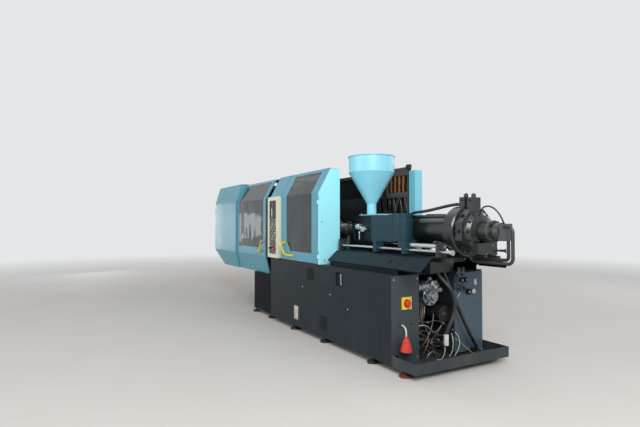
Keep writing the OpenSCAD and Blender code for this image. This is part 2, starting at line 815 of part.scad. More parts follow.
// Welded tube frame that carries the guards, with the plate for the terminal
module guard_frame() {
    rail_z1 = guard_top - 5 - sheet_t - seat_gap;
    color("#1f2427") {
        both_sides() {
            box([cover_x0 + 10, front_y + rail_y, rail_z1 - frame_w],
                [guard_end_x - sheet_t, front_y + rail_y + frame_y, rail_z1]);
            for (x = post_x)
                box([x, front_y + rail_y, x < base_x ? beam_top : deck_z],
                    [x + frame_w, front_y + rail_y + frame_y, rail_z1 - frame_w]);
            for (x = [post_x[0], post_x[1], post_x[2]])
                box([x, front_y + rail_y, beam_top - 60], [x + frame_w, -360, beam_top]);
        }
        for (x = [post_x[0], post_x[1], post_x[2]])
            box([x, front_y + rail_y, rail_z1 - frame_w], [x + frame_w, rear_y - rail_y, rail_z1]);
        for (x = [post_x[0], post_x[1]])
            box([x, -250, rail_z1], [x + frame_w, 250, cover_top - sheet_t]);
        box([slider_x1 + 6, front_y + 32, deck_z], [hinged_x0 - 5, front_y + 38, fold_z - 4]);
        for (x = [slider_x1 + 12, hinged_x0 - 45])
            box([x, front_y + 38, 1300], [x + 30, front_y + rail_y, 1340]);
        box([slider_x1 + 12, front_y + rail_y, 1300], [hinged_x0 - 15, front_y + rail_y + 12, 1340]);
    }
}

terminal_z0 = deck_z + 9;
terminal_z1 = fold_z + 4;
terminal_y0 = front_y - terminal_proud;
border = 52;

module terminal_housing() {
    recess = 12;
    color("#dcd9c8")
    difference() {
        box([terminal_x0, terminal_y0, terminal_z0], [terminal_x1, front_y + 32, terminal_z1]);
        box([terminal_x0 + border, terminal_y0 - 1, terminal_z0 + border],
            [terminal_x1 - border, terminal_y0 + recess, terminal_z1 - border]);
        rod_y(stop_x, terminal_y0, terminal_y0 + 40, stop_z, 24);
    }
}

stop_x = terminal_x1 - border - 60;
stop_z = terminal_z0 + border + 70;

// Membrane keypad with a recessed screen; its keys are raised fields that don't travel
module terminal_panel() {
    face = terminal_y0 + 4;
    back = terminal_y0 + 12;
    x0 = terminal_x0 + border;
    x1 = terminal_x1 - border;
    pitch = (x1 - x0 - 28) / 5;
    color("#4a4740")
    difference() {
        union() {
            box([x0, face, terminal_z0 + border], [x1, back, terminal_z1 - border]);
            for (row = [0:5], col = [0:4])
                box([x0 + 20 + col * pitch, face - 1.5, terminal_z0 + 250 + row * 42],
                    [x0 + 48 + col * pitch, face, terminal_z0 + 280 + row * 42]);
        }
        box([x0 + 28, face - 1, terminal_z1 - border - 250],
            [x1 - 28, face + 3, terminal_z1 - border - 28]);
        rod_y(stop_x, face - 2, back + 1, stop_z, 22 + 2 * run_fit);
    }
}

module emergency_stop() {
    face = terminal_y0 + 4;
    color("#c8281e")
    translate([stop_x, face, stop_z]) rotate([90, 0, 0]) rotate_extrude()
        polygon([[0, -24], [11, -24], [11, 12], [20, 14], [20, 22], [16, 27], [0, 29]]);
}

// Hydraulics

tank_y0 = 162;
tank_y1 = tank_y0 + 411;
tank_x0 = end_x - 750;
tank_x1 = end_x + 40;
pump_beam_x = [end_x - 750, end_x - 290];
pump_foot_z = 500;
pump_y = -40;
pump_z = pump_foot_z + 165;

module oil_tank() {
    seam = 570;
    top = under_deck - 2;
    color("#4c5a62") {
        box([tank_x0, tank_y0, floor_z + 18], [tank_x1, tank_y1, seam - 6]);
        box([tank_x0 - 8, tank_y0 - 2, seam - 6], [tank_x1 + 3, tank_y1 + 3, seam + 6]);
        box([tank_x0, tank_y0, seam + 6], [tank_x1, tank_y1, top]);
        for (x = [tank_x0 + 60, tank_x1 - 160])
            box([x, tank_y0 + 20, floor_z], [x + 100, tank_y1 - 20, floor_z + 18]);
        rod_x(tank_x1 - 260, tank_x1 - 65, tank_y0 - 72, 480, 170);
        rod_x(tank_x1, tank_x1 + 12, tank_y1 - 139, 700, 46);
        rod_x(tank_x1, tank_x1 + 34, tank_y0 + 200, 112, 62);
        for (k = [0, 1]) {
            box([tank_x1, tank_y0 + 8 + k * 58, 800], [tank_x1 + 60, tank_y0 + 52 + k * 58, 880]);
            rod_z(tank_x1 + 32, tank_y0 + 30 + k * 58, 880, 930, 30);
            rod_x(tank_x1, tank_x1 + 44, tank_y0 + 34 + k * 62, 745, 50);
        }
    }
}

module pump_motor() {
    d = 290;
    x0 = pump_beam_x[0];
    x1 = pump_beam_x[1] - 40;
    color("#2b3236") {
        rod_x(x0, x1, pump_y, pump_z, d - 24);
        for (a = [0:15:345])
            translate([0, pump_y, pump_z]) rotate([a, 0, 0]) box([x0 + 60, -3, 120], [x1 - 30, 3, d / 2]);
        rod_x(x0, x0 + 60, pump_y, pump_z, d);
        rod_x(x1 - 30, x1, pump_y, pump_z, d);
        for (y = [-100, 60])
            box([x0, pump_y + y, pump_foot_z], [x1 - 40, pump_y + y + 40, pump_z - 90]);
        box([x0 + 120, pump_y - 70, pump_z + 130], [x0 + 260, pump_y + 70, pump_z + 200]);
    }
}

pump_x0 = pump_beam_x[1] - 40;

module hydraulic_pump() {
    head_x = pump_x0 + 120;
    color("#b9c0c2") {
        rod_x(pump_x0, pump_x0 + 30, pump_y, pump_z, 290);
        rod_x(pump_x0 + 30, pump_x0 + 110, pump_y, pump_z, 200);
        rod_x(pump_x0 + 110, pump_x0 + 240, pump_y, pump_z, 190);
        rod_x(pump_x0 + 240, pump_x0 + 285, pump_y, pump_z, 126);
        for (y = [-90, 50])
            box([pump_x0 + 40, pump_y + y, pump_foot_z], [pump_x0 + 90, pump_y + y + 40, pump_z - 80]);
        box([head_x, pump_y - 78, pump_z + 60], [head_x + 140, pump_y + 72, pump_z + 156]);
        rod_y(head_x + 78, pump_y - 148, pump_y + 118, pump_z + 96, 92);
        rod_y(head_x + 78, pump_y - 158, pump_y - 148, pump_z + 96, 112);
        rod_z(head_x + 70, pump_y + 30, pump_z + 156, pump_z + 190, 56);
        rod_x(head_x + 140, head_x + 172, pump_y - 20, pump_z + 104, 84);
    }
}

hose_d = 38;

module feed_hoses() {
    stub = [tank_x1 + 34, tank_y0 + 200, 112];
    color("#15181a") {
        swept(bend([bed_x1 - 24, -30, deck_z - 10], [bed_x1 + 90, 0, 780], [end_x + 140, 70, 760],
            [end_x + 145, 60, 600], 8), hose_d, [1, 0.2, 0]);
        swept(bend([end_x + 145, 60, 600], [end_x + 148, 52, 470], [end_x + 170, -40, 440],
            [end_x + 148, -62, 335], 6),
            hose_d, [1, 0.2, 0]);
        rod_z(end_x + 148, -62, 215, 336, 44);
        swept(bend([end_x + 148, -62, 216], [end_x + 146, -66, 170], [end_x + 120, -70, 100],
            [end_x + 80, -70, floor_z], 5),
            20, [1, 0.2, 0], 8);
        swept(bend([bed_x1 - 18, 60, deck_z - 10], [bed_x1 + 70, 90, 700], [end_x + 200, 130, 420],
            [stub[0] + 66, stub[1], stub[2] + 50], 14), hose_d, [1, 0.2, 0]);
        swept(bend([stub[0] + 66, stub[1], stub[2] + 50], [stub[0] + 66, stub[1], stub[2] + 10],
            [stub[0] + 40, stub[1], stub[2]], stub, 5), hose_d, [0, 1, 0]);
    }
}

// Thin steel pipes low in the pump bay
module pilot_pipes() {
    color("#6b4a3a") {
        for (k = [0:3])
            swept(bend([end_x - 190 + k * 34, pump_y - 60 - k * 8, pump_z - 100],
                [end_x - 100 + k * 30, -200, 420 - k * 20],
                [end_x - 120 - k * 30, -260 + k * 30, 200 + k * 20],
                    [end_x - 150 + k * 36, -180 + k * 70, floor_z], 10),
                16, [0.1, 0.2, 1], 8);
        swept(bend([end_x - 50, wall_y, 300], [end_x - 50, -160, 420], [end_x - 20, 20, 180],
            [end_x - 25, tank_y0, 300], 12),
            16, [0, 0.1, 1], 8);
        swept(bend([end_x - 70, wall_y, 230], [end_x - 20, -180, 340], [end_x - 100, -20, 120],
            [end_x - 45, tank_y0, 210], 12),
            16, [0, 0.1, 1], 8);
    }
}

// Control cabinet at the rear

rack_x0 = 700;
rack_x1 = 1256;
rack_cover_x1 = rack_x1 + 116;
rack_y0 = rear_y - 186;
rack_y1 = rack_y0 + 62;
rack_top = 2120;

module control_cabinet() {
    color("#5a5650")
    difference() {
        box([rack_x0, rack_y0, deck_z], [rack_x1, rack_y1, rack_top]);
        box([rack_x0 + sheet_t, rack_y0 - 1, deck_z + sheet_t],
            [rack_x1 - sheet_t, rack_y1 - sheet_t, rack_top - header_h]);
        box([rack_x0 + sheet_t, rack_y0 + sheet_t, rack_top - header_h - 10],
            [rack_x1 - sheet_t, rack_y1 - sheet_t, rack_top - sheet_t]);
    }
}

header_h = 102;
card_z0 = rack_top - 302;
card_z1 = rack_top - header_h;

module card_rack() {
    pitch = 40;
    thick = 17;
    rail_h = 14;
    y0 = rack_y0 + 8;
    y1 = rack_y1 - sheet_t;
    color("#7a5a34") {
        for (z = [card_z0 - rail_h, card_z1 - 2])
            box([rack_x0 + sheet_t, y0 + 6, z], [rack_x1 - sheet_t, y1, z + rail_h]);
        for (x = [rack_x1 - 60:-pitch:rack_x0 + 30])
            box([x, y0, card_z0 - 1], [x + thick, y1, card_z1 - 1]);
        box([rack_x0 + sheet_t, y0, card_z0 - 76], [rack_x1 - sheet_t, y0 + 24, card_z0 - rail_h]);
    }
}

module cabinet_cables() {
    color("#17191b")
    for (k = [0:5]) {
        x = rack_x0 + 60 + k * 78;
        top = [x, rack_y0 + 46, card_z0 - 14];
        foot = [x + (k < 3 ? 130 : -30), rack_y0 + 20 + 5 * k, deck_z + sheet_t];
        swept(bend(top, top - [0, 0, 240], foot + [0, 0, 300], foot, 12), 22, [1, 0.4, 0.2], 8);
    }
}

module cabinet_cover() {
    color("#4e93a8")
    box([rack_x1 + 5, rear_y - 162, deck_z], [rack_cover_x1, rear_y - 47, guard_top - 30]);
}

// Injection unit

hopper_x = 1095;
throat_d = 80;
housing_x0 = 950;
step_x = 1520;
housing_x1 = 1915;
flange_x1 = 1990;
housing_z1 = 1500;
foot_z0 = 1108;
guide_h = 9;
gate_way_x1 = 1420;
shaft_d = 60;
core_d = 110;
column_x = 1965;
column_y = 235;
column_d = 200;
column_z0 = 1225;
column_z1 = 1492;
rib_h = 14;
left_foot_x = step_x + 140;
foot_len = 56;
arm_x1 = 2134;
cylinder_d = 274;
stay = 141;
stay_d = 36;
cast_gap = 4;

// Foot with the bearing of a guide rod
module bearing_foot(x0, x1) {
    both_sides()
        box([x0, -400, foot_z0], [x1, -300, 1220]);
}

// Upright column with cast ribs between the housing and the injection cylinder
module column() {
    rod_z(column_x, -column_y, column_z0, column_z1, column_d);
    for (z = [column_z0 + 15:36:column_z1 - 40])
        rod_z(column_x, -column_y, z, z + rib_h, column_d + 10);
    rod_z(column_x, -column_y, column_z1 - 4, column_z1 + 20, column_d + 18);
}

module feed_housing() {
    color("#2a4a52")
    difference() {
        union() {
            box([housing_x0, -150, 1190], [step_x, 150, housing_z1]);
            box([640, -150, 1456], [housing_x0, 150, housing_z1]);
            box([step_x, -317, 1215], [housing_x1, 317, housing_z1]);
            box([housing_x1, -200, 1190], [flange_x1, 200, housing_z1]);
            both_sides() column();
            both_sides() box([column_x + 40, -335, 1150], [arm_x1, -200, column_z0 + 8]);
            for (x = [left_foot_x, arm_x1])
                bearing_foot(x, x + foot_len);
            for (y = [-1, 1])
                box([970, y * 80 - 18, housing_z1], [gate_way_x1, y * 80 + 18, housing_z1 + guide_h]);
            box([955, -190, 1330], [1010, -150, 1420]);
            rod_z(982, -172, 1240, 1330, 24);
            rod_z(982, -172, 1190, 1240, 12);
        }
        rod_x(639, 1240, 0, axis_z, barrel_d);
        rod_x(1239, flange_x1 + 1, 0, axis_z, core_d);
        rod_z(hopper_x, 0, axis_z, housing_z1 + 1, throat_d);
        both_sides()
            for (x = [left_foot_x, arm_x1])
                rod_x(x - 1, x + foot_len + 1, -rod_y_at, rod_z_at, rod_d + 2 * run_fit);
        rod_x(flange_x1, arm_x1, 0, axis_z, cylinder_d + 2 * cast_gap);
        for (y = [-1, 1], z = [-1, 1])
            rod_x(flange_x1, arm_x1, y * stay, axis_z + z * stay, stay_d + 2);
    }
}

nozzle_x = -330;

module barrel() {
    bore = screw_d + 2 * run_fit;
    color("#8d9296")
    difference() {
        union() {
            rod_x(-215, 1240, 0, axis_z, barrel_d);
            about_axis(nozzle_x)
                polygon([[0, 0], [14, 0], [20, 12], [20, 50], [38, 56], [38, 90], [barrel_d / 2, 116],
                    [0, 116]]);
        }
        rod_x(-240, 1241, 0, axis_z, bore);
        rod_x(nozzle_x - 1, -239, 0, axis_z, 10);
        rod_z(hopper_x, 0, axis_z, axis_z + barrel_d, throat_d - 10);
    }
}

band_w = 170;

module heater_bands() {
    color("#b6b2a8")
    for (k = [0:4]) {
        x = -185 + k * 215;
        difference() {
            union() {
                rod_x(x, x + band_w, 0, axis_z, barrel_d + 26);
                box([x + 100, -22, axis_z + barrel_d / 2 + 5],
                    [x + band_w - 20, 22, axis_z + barrel_d / 2 + 42]);
            }
            rod_x(x - 1, x + band_w + 1, 0, axis_z, barrel_d + 2 * run_fit);
        }
    }
}

collar_x = 1860;

module screw() {
    color("#c9cdcf") {
        rod_x(-205, collar_x, 0, axis_z, screw_d - 14);
        about_axis(-235) polygon([[0, 0], [6, 0], [screw_d / 2 - 5, 30], [0, 30]]);
        for (x = [-180:screw_d:980])
            rod_x(x, x + 8, 0, axis_z, screw_d);
        rod_x(1150, 1500, 0, axis_z, screw_d);
        rod_x(collar_x, collar_x + 40, 0, axis_z, 96);
        rod_x(collar_x + 40, 2850, 0, axis_z, shaft_d);
    }
}

module hopper() {
    wall = 2.5;
    r = hopper_d / 2;
    n = neck_d / 2;
    base_z = housing_z1 + guide_h;
    color("#8fe6ff") {
        difference() {
            box([hopper_x - 120, -98, base_z], [gate_way_x1, 98, base_z + 12]);
            rod_z(hopper_x, 0, base_z - 1, base_z + 13, throat_d);
        }
        translate([hopper_x, 0, 0])
        rotate_extrude($fn = 72)
            polygon([[throat_d / 2, base_z + 12], [n, base_z + 12], [n, 1650], [r, 2034],
                [r, hopper_top - 8], [r + 8, hopper_top - 8], [r + 8, hopper_top], [r - wall, hopper_top],
                [r - wall, 2034 + 1], [n - wall, 1651], [n - wall, base_z + 16],
                    [throat_d / 2, base_z + 16]]);
    }
}

module hopper_gate() {
    z0 = housing_z1 + seat_gap;
    color("silver")
    difference() {
        union() {
            box([930, -61, z0], [gate_way_x1 + 95, 61, housing_z1 + guide_h - seat_gap]);
            box([gate_way_x1 + 85, -61, z0], [gate_way_x1 + 95, 61, housing_z1 + 24]);
        }
        rod_z(hopper_x, 0, z0 - 1, z0 + 20, throat_d);
    }
}

drum_x0 = 2510;
drum_x1 = 2650;
cap_x1 = 2740;
rear_flange_x = 2905;
bore_d = 200;
piston_rod_d = 100;
sleeve_d = 90;

module injection_cylinder() {
    r = drum_d / 2;
    cone = drum_x0 - flange_x1;
    drum_end = drum_x1 - flange_x1;
    manifold_z = 1130;
    color("#1d2428")
    difference() {
        union() {
            about_axis(flange_x1)
                polygon([[0, 0], [cylinder_d / 2, 0], [cylinder_d / 2, cone - 30], [r - 20, cone],
                    [r, cone + 20],
                    [r, drum_end - 10], [r - 12, drum_end], [0, drum_end]]);
            translate([drum_x1, 0, axis_z]) rotate([0, 90, 0]) rotate([0, 0, 22.5])
                cylinder(h = cap_x1 - drum_x1, r = r - 17, $fn = 8);
            about_axis(cap_x1)
                polygon([[0, 0], [185, 0], [178, 24], [150, 50], [112, 62], [100, 66], [100, 165],
                    [0, 165]]);
            for (y = [-1, 1], z = [-1, 1])
                rod_x(flange_x1, drum_x0 + 20, y * stay, axis_z + z * stay, stay_d);
            box([2640, -100, manifold_z], [2830, 100, 1230]);
            rod_y(2690, -150, -100, 1185, 84);
            box([2590, -75, 1560], [2655, 35, 1655]);
            box([2668, -60, 1535], [2738, 45, 1650]);
            rod_x(2560, 2592, -30, 1590, 44);
            rod_z(2700, -10, 1640, 1664, 30);
        }
        rod_x(2150, 2640, 0, axis_z, bore_d);
        rod_x(flange_x1 - 1, 2151, 0, axis_z, piston_rod_d + 2 * run_fit);
        rod_x(2639, rear_flange_x + 1, 0, axis_z, sleeve_d + 1);
    }
}

module injection_piston() {
    color("#c9cdcf")
    difference() {
        union() {
            rod_x(collar_x + 40 + seat_gap, 2181, 0, axis_z, piston_rod_d);
            rod_x(2180, 2260, 0, axis_z, bore_d - 2 * run_fit);
        }
        rod_x(collar_x, 2261, 0, axis_z, shaft_d + 2 * run_fit);
    }
}

port_x = 3020;
port_block = 46;
pull_end_x = 2582;

// The hollow spindle of the motor reaches into the cylinder and drives the shaft of the screw
module hydraulic_motor() {
    color("#5c666b")
    difference() {
        union() {
            rod_x(2660, rear_flange_x, 0, axis_z, sleeve_d);
            rod_x(rear_flange_x, rear_flange_x + 24, 0, axis_z, motor_d + 42);
            rod_x(rear_flange_x + 24, rear_flange_x + 60, 0, axis_z, motor_d - 30);
            rod_x(rear_flange_x + 60, port_x, 0, axis_z, motor_d);
            box([port_x, -62, axis_z - 80], [port_x + port_block, 62, axis_z + 70]);
            for (a = [30:60:330])
                translate([0, 0, axis_z]) rotate([a, 0, 0])
                    rod_x(rear_flange_x + 24, rear_flange_x + 38, 0, motor_d / 2 + 6, 20);
        }
        rod_x(2659, port_x + 10, 0, axis_z, shaft_d + 2 * run_fit);
    }
}

// Quarter bend of a steel pipe in the X-Z plane, from angle a to a + 90 degrees
module pipe_bend(x, y, z, r, a) {
    translate([x, y, z]) rotate([90, 0, 0]) rotate([0, 0, a])
        rotate_extrude(angle = 90) translate([r, 0]) circle(d = pipe_d);
}

// One steel pipe: down from the manifold, along, and up to the motor
module pipe_run(x0, x1, y, z_top, z_run, z_end, r) {
    rod_z(x0, y, z_run + r, z_top, pipe_d);
    pipe_bend(x0 + r, y, z_run + r, r, 180);
    rod_x(x0 + r, x1 - r, y, z_run, pipe_d);
    pipe_bend(x1 - r, y, z_run + r, r, 270);
    rod_z(x1, y, z_run + r, z_end, pipe_d);
}

module motor_pipes() {
    r = 52;
    outer_x = 3148;
    top_z = axis_z + 45;
    color("#4a5256") {
        pipe_run(2690, outer_x, -40, 1130, 1060, top_z - r, r);
        pipe_bend(outer_x - r, -40, top_z - r, r, 0);
        rod_x(port_x + port_block, outer_x - r, -40, top_z, pipe_d);
        pipe_run(2790, port_x + 25, 36, 1130, 1085, axis_z - 80, r - 20);
    }
}

module injection_hoses() {
    color("#14171a") {
        swept(bend([2560, -30, 1590], [2440, -40, 1600], [2300, -150, 1530], [2150, -180, 1525], 12),
            30, [0, 0.2, 1]);
        swept(bend([2150, -180, 1525], [2110, -186, 1524], [2070, -180, 1520],
            [flange_x1 - 10, -150, 1500], 5),
            30, [0, 1, 0.1]);
        swept(bend([2790, -30, 1480], [2810, -40, 1600], [3000, -60, 1600],
            [port_x + 10, 0, axis_z + 70], 14),
            14, [0, 1, 0], 8);
        swept(bend([2500, -pull_y, pull_z + pull_d / 2 + seat_gap], [2500, -pull_y, 1280],
            [2600, -190, 1170],
            [2642, -98, 1140], 14),
            22, [1, 0, 0.2], 8);
    }
}

module carriage_cylinders() {
    color("#aeb4b4")
    both_sides()
        difference() {
            union() {
                rod_x(arm_x1 + foot_len, pull_end_x, -pull_y, pull_z, pull_d);
                rod_x(pull_end_x - 44, pull_end_x, -pull_y, pull_z, pull_d + 12);
            }
            rod_x(arm_x1 + foot_len + 10, pull_end_x + 1, -pull_y, pull_z, pull_rod_d + 2 * run_fit);
        }
}

// The stations are counted from a datum beside the middle of the machine
translate([frame_shift, 0, 0]) {
bed_frame();
clamp_stand();
drip_pan();
levelling_feet();
front_panel();
end_panel();
switchgear();
main_switch_plate();
supply_cord();
supply_plug();
slope_covers();
injection_bed();
guide_rods();
fixed_platen();
cylinder_platen();
tie_bars();
tie_bar_nuts();
clamp_cover();
centre_guard();
guard_end_plate();
rear_guard();
guard_frame();
terminal_housing();
terminal_panel();
oil_tank();
pump_motor();
hydraulic_pump();
feed_hoses();
pilot_pipes();
control_cabinet();
cabinet_cover();
card_rack();
cabinet_cables();
carriage_rods();
main_switch_handle();
cabinet_door_left();
cabinet_door_right();
latch_handle();
sliding_guard();
sliding_window();
sliding_handle();
hinged_guard();
hinged_window();
hinged_handle();
moving_platen();
clamp_ram();
ejector_rod();
emergency_stop();
feed_housing();
barrel();
heater_bands();
screw();
hopper();
hopper_gate();
injection_cylinder();
hydraulic_motor();
motor_pipes();
injection_hoses();
injection_piston();
carriage_cylinders();
}
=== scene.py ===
import math

import bmesh
import bpy
from mathutils import Matrix, Vector


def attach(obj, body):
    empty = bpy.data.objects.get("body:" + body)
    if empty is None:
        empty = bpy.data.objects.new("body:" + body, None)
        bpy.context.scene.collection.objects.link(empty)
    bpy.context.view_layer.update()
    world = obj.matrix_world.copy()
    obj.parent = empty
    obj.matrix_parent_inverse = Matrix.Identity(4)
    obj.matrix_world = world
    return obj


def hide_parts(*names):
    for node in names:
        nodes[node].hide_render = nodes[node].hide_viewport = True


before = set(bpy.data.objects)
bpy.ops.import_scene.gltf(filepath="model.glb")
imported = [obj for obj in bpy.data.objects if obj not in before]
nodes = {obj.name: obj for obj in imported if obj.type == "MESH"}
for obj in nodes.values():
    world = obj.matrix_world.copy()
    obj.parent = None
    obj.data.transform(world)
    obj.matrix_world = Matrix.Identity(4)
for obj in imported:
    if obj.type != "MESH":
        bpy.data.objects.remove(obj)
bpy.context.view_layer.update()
print("frame loaded:", len(nodes), "nodes")

# stations along X are counted from a datum beside the middle of the machine, as in its source
datumX = 0.060


def fromDatum(place):
    return Vector(place) + Vector((datumX, 0.0, 0.0))


# camera: it stands off the drive end, a little over the deck, and looks along the machine

cameraSettings = {
    "place": (5.71759, -3.38535, 1.400),
    "turn": 29.84,        # degrees off the machine's long side
    "lift": 1.34,         # degrees over the horizon
    "lens": 25.99,        # millimetres, as is the sensor's width
    "sensor": 36.0,
    "reach": 100.0,       # metres, past the far edge of the floor
}


def standCamera(settings):
    turn = math.radians(settings["turn"])
    lift = math.radians(settings["lift"])
    flat = Vector((-math.cos(turn), math.sin(turn), 0.0))
    ahead = flat * math.cos(lift) + Vector((0.0, 0.0, 1.0)) * math.sin(lift)
    right = Vector((math.sin(turn), math.cos(turn), 0.0))
    up = right.cross(ahead)
    facing = Matrix((right, up, -ahead)).transposed().to_4x4()
    lensData = bpy.data.cameras.new("studioCamera")
    lensData.lens = settings["lens"]
    lensData.sensor_width = settings["sensor"]
    lensData.clip_end = settings["reach"]
    camera = bpy.data.objects.new("studioCamera", lensData)
    camera.matrix_world = Matrix.Translation(fromDatum(settings["place"])) @ facing
    bpy.context.scene.collection.objects.link(camera)
    bpy.context.scene.camera = camera


standCamera(cameraSettings)
print("camera stands")


# node tools: one function adds any node, the others lay a pattern, a colour, a gloss or a relief with it


def linear(code):
    # the usual sRGB curve, from a hex code to linear light
    parts = [int(code[i:i + 2], 16) / 255.0 for i in (1, 3, 5)]
    return tuple(p / 12.92 if p <= 0.04045 else ((p + 0.055) / 1.055) ** 2.4 for p in parts) + (1.0,)


def addNode(tree, kind, inputs=None, **settings):
    # an input is a socket to link, a hex colour or a plain value
    made = tree.nodes.new(kind)
    for name, value in settings.items():
        setattr(made, name, value)
    for name, value in (inputs or {}).items():
        if isinstance(value, bpy.types.NodeSocket):
            tree.links.new(value, made.inputs[name])
        else:
            made.inputs[name].default_value = linear(value) if isinstance(value, str) else value
    return made


def newMaterial(name, constants=None):
    # the constants stand on the shader's own sockets
    made = bpy.data.materials.new(name)
    made.use_nodes = True
    tree = made.node_tree
    tree.nodes.clear()
    shader = addNode(tree, "ShaderNodeBsdfPrincipled", constants)
    addNode(tree, "ShaderNodeOutputMaterial", {"Surface": shader.outputs["BSDF"]})
    coords = addNode(tree, "ShaderNodeTexCoord")
    return made, tree, shader, coords


def cloud(tree, coords, perMetre, low=0.35, high=0.65, stretch=(1.0, 1.0, 1.0), detail=3.0):
    # a mask of soft patches, so many to the metre, from 0 to 1 between the low and high values of the noise
    placed = addNode(tree, "ShaderNodeMapping", {"Vector": coords.outputs["Object"], "Scale": stretch})
    noise = addNode(tree, "ShaderNodeTexNoise", {"Vector": placed.outputs[0], "Scale": perMetre,
                                                 "Detail": detail}).outputs[0]
    return addNode(tree, "ShaderNodeMapRange", {"Value": noise, "From Min": low, "From Max": high}).outputs[0]


def band(tree, coords, source, axis, off, on):
    # a mask along one axis of the Object or Normal coordinates: 0 at the value off, 1 at the value on
    along = addNode(tree, "ShaderNodeSeparateXYZ", {0: coords.outputs[source]}).outputs[axis]
    return addNode(tree, "ShaderNodeMapRange", {"Value": along, "From Min": off, "From Max": on}).outputs[0]


def overlay(tree, under, over, mask, share=1.0):
    # the upper colour lies where the mask is, thinned by the share, which is a number or a second mask
    amount = addNode(tree, "ShaderNodeMath", {0: mask, 1: share}, operation="MULTIPLY", use_clamp=True)
    laid = addNode(tree, "ShaderNodeMix", {0: amount.outputs[0], 6: under, 7: over}, data_type="RGBA")
    return laid.outputs[2]


def vary(tree, shader, socket, mask, bare, covered):
    # a socket of the shader goes from its bare value to its covered value with the mask
    ranged = addNode(tree, "ShaderNodeMapRange", {"Value": mask, "To Min": bare, "To Max": covered})
    tree.links.new(ranged.outputs[0], shader.inputs[socket])


def relief(tree, shader, height, depth, strength):
    bump = addNode(tree, "ShaderNodeBump", {"Height": height, "Distance": depth, "Strength": strength})
    tree.links.new(bump.outputs[0], shader.inputs["Normal"])


# finishes: every family starts from how the real surface was made


def sprayedSheet(name, paint, dust, rough, soil, coat=0.0, gloss=0.5, other=None):
    # two-part enamel sprayed on folded sheet: soft gloss, faint orange peel, wiped smudges, dust on ledges
    made, tree, shader, coords = newMaterial(name, {"Specular IOR Level": gloss, "Coat Weight": coat,
                                                    "Coat Roughness": 0.12})
    smudge = cloud(tree, coords, 1.7, 0.3, 0.7)
    runs = cloud(tree, coords, 7.0, 0.42, 0.72, (1.0, 1.0, 0.12))
    specks = cloud(tree, coords, 85.0, 0.60, 0.72)
    tone = overlay(tree, paint, dust, smudge, 0.22)
    nearFloor = band(tree, coords, "Object", 2, 0.42, 0.05)        # splashes reach 0.42 m up
    splashed = addNode(tree, "ShaderNodeMath", {0: nearFloor, 1: runs}, operation="MULTIPLY")
    tone = overlay(tree, tone, dust, splashed.outputs[0], soil)
    settled = addNode(tree, "ShaderNodeMapRange", {"Value": smudge, "To Min": 0.15, "To Max": 0.5})
    tone = overlay(tree, tone, dust, band(tree, coords, "Normal", 2, 0.55, 0.95), settled.outputs[0])
    tone = overlay(tree, tone, dust, specks, 0.18 * soil)
    if other:
        # a darker colour on part of the same piece, past a plane along one axis or on the faces turned one
        # way; on the feed housing and the rear guard this is painted shade
        there = band(tree, coords, other["by"], other["axis"], other["off"], other["on"])
        tone = overlay(tree, tone, other["paint"], there)
    tree.links.new(tone, shader.inputs["Base Color"])
    vary(tree, shader, "Roughness", smudge, rough - 0.06, rough + 0.1)
    # the real peel is about 1 mm wide; it is drawn 4 mm wide so that it still shows
    relief(tree, shader, cloud(tree, coords, 250.0, 0.0, 1.0, detail=1.0), 0.0004, 0.25)
    return made


def oiledPaint(name, paint, dust, rough, oil):
    # black machine enamel under a film of hydraulic oil: sharp highlights between dull dusty patches
    made, tree, shader, coords = newMaterial(name, {"Coat Weight": oil, "Coat Roughness": 0.1})
    film = cloud(tree, coords, 6.0, 0.38, 0.62)
    grit = cloud(tree, coords, 120.0, 0.55, 0.75)
    tone = overlay(tree, paint, dust, film, 0.3)
    settled = addNode(tree, "ShaderNodeMapRange", {"Value": film, "To Min": 0.1, "To Max": 0.45})
    tone = overlay(tree, tone, dust, band(tree, coords, "Normal", 2, 0.5, 0.95), settled.outputs[0])
    tone = overlay(tree, tone, dust, grit, 0.25)
    tree.links.new(tone, shader.inputs["Base Color"])
    vary(tree, shader, "Roughness", film, rough, rough + 0.22)
    relief(tree, shader, cloud(tree, coords, 180.0, 0.0, 1.0), 0.0005, 0.35)
    return made


def groundSteel(name):
    # hard chromed and ground bar: bright, with very fine lines round it and a few oily bands
    made, tree, shader, coords = newMaterial(name, {"Metallic": 1.0})
    lines = cloud(tree, coords, 3.0, 0.3, 0.7, (160.0, 3.0, 3.0))
    bands = cloud(tree, coords, 4.0, 0.45, 0.65)
    tree.links.new(overlay(tree, "#C9CCCE", "#8C8A82", bands, 0.35), shader.inputs["Base Color"])
    vary(tree, shader, "Roughness", lines, 0.11, 0.26)
    relief(tree, shader, lines, 0.0001, 0.3)
    return made


def dullSteel(name, tint, stain, rough, staining):
    # bare or zinc plated steel that has stood in a workshop: grey, matt, with brown staining in patches
    made, tree, shader, coords = newMaterial(name)
    patches = cloud(tree, coords, 14.0, 0.45, 0.68, detail=6.0)
    fine = cloud(tree, coords, 140.0, 0.3, 0.7)
    tree.links.new(overlay(tree, tint, stain, patches, staining), shader.inputs["Base Color"])
    vary(tree, shader, "Roughness", fine, rough - 0.08, rough + 0.14)
    vary(tree, shader, "Metallic", patches, 1.0, 0.55)
    relief(tree, shader, fine, 0.0004, 0.3)
    return made


def castIron(name, paint, dust):
    # grey iron casting with a thick brushed coat: pebbled skin, dusty on top
    made, tree, shader, coords = newMaterial(name)
    skin = cloud(tree, coords, 160.0, 0.25, 0.75, detail=4.0)
    patch = cloud(tree, coords, 5.0, 0.35, 0.65)
    tone = overlay(tree, paint, dust, patch, 0.3)
    tone = overlay(tree, tone, dust, band(tree, coords, "Normal", 2, 0.6, 0.95), 0.4)
    tree.links.new(tone, shader.inputs["Base Color"])
    vary(tree, shader, "Roughness", patch, 0.4, 0.6)
    relief(tree, shader, skin, 0.0012, 0.45)
    return made


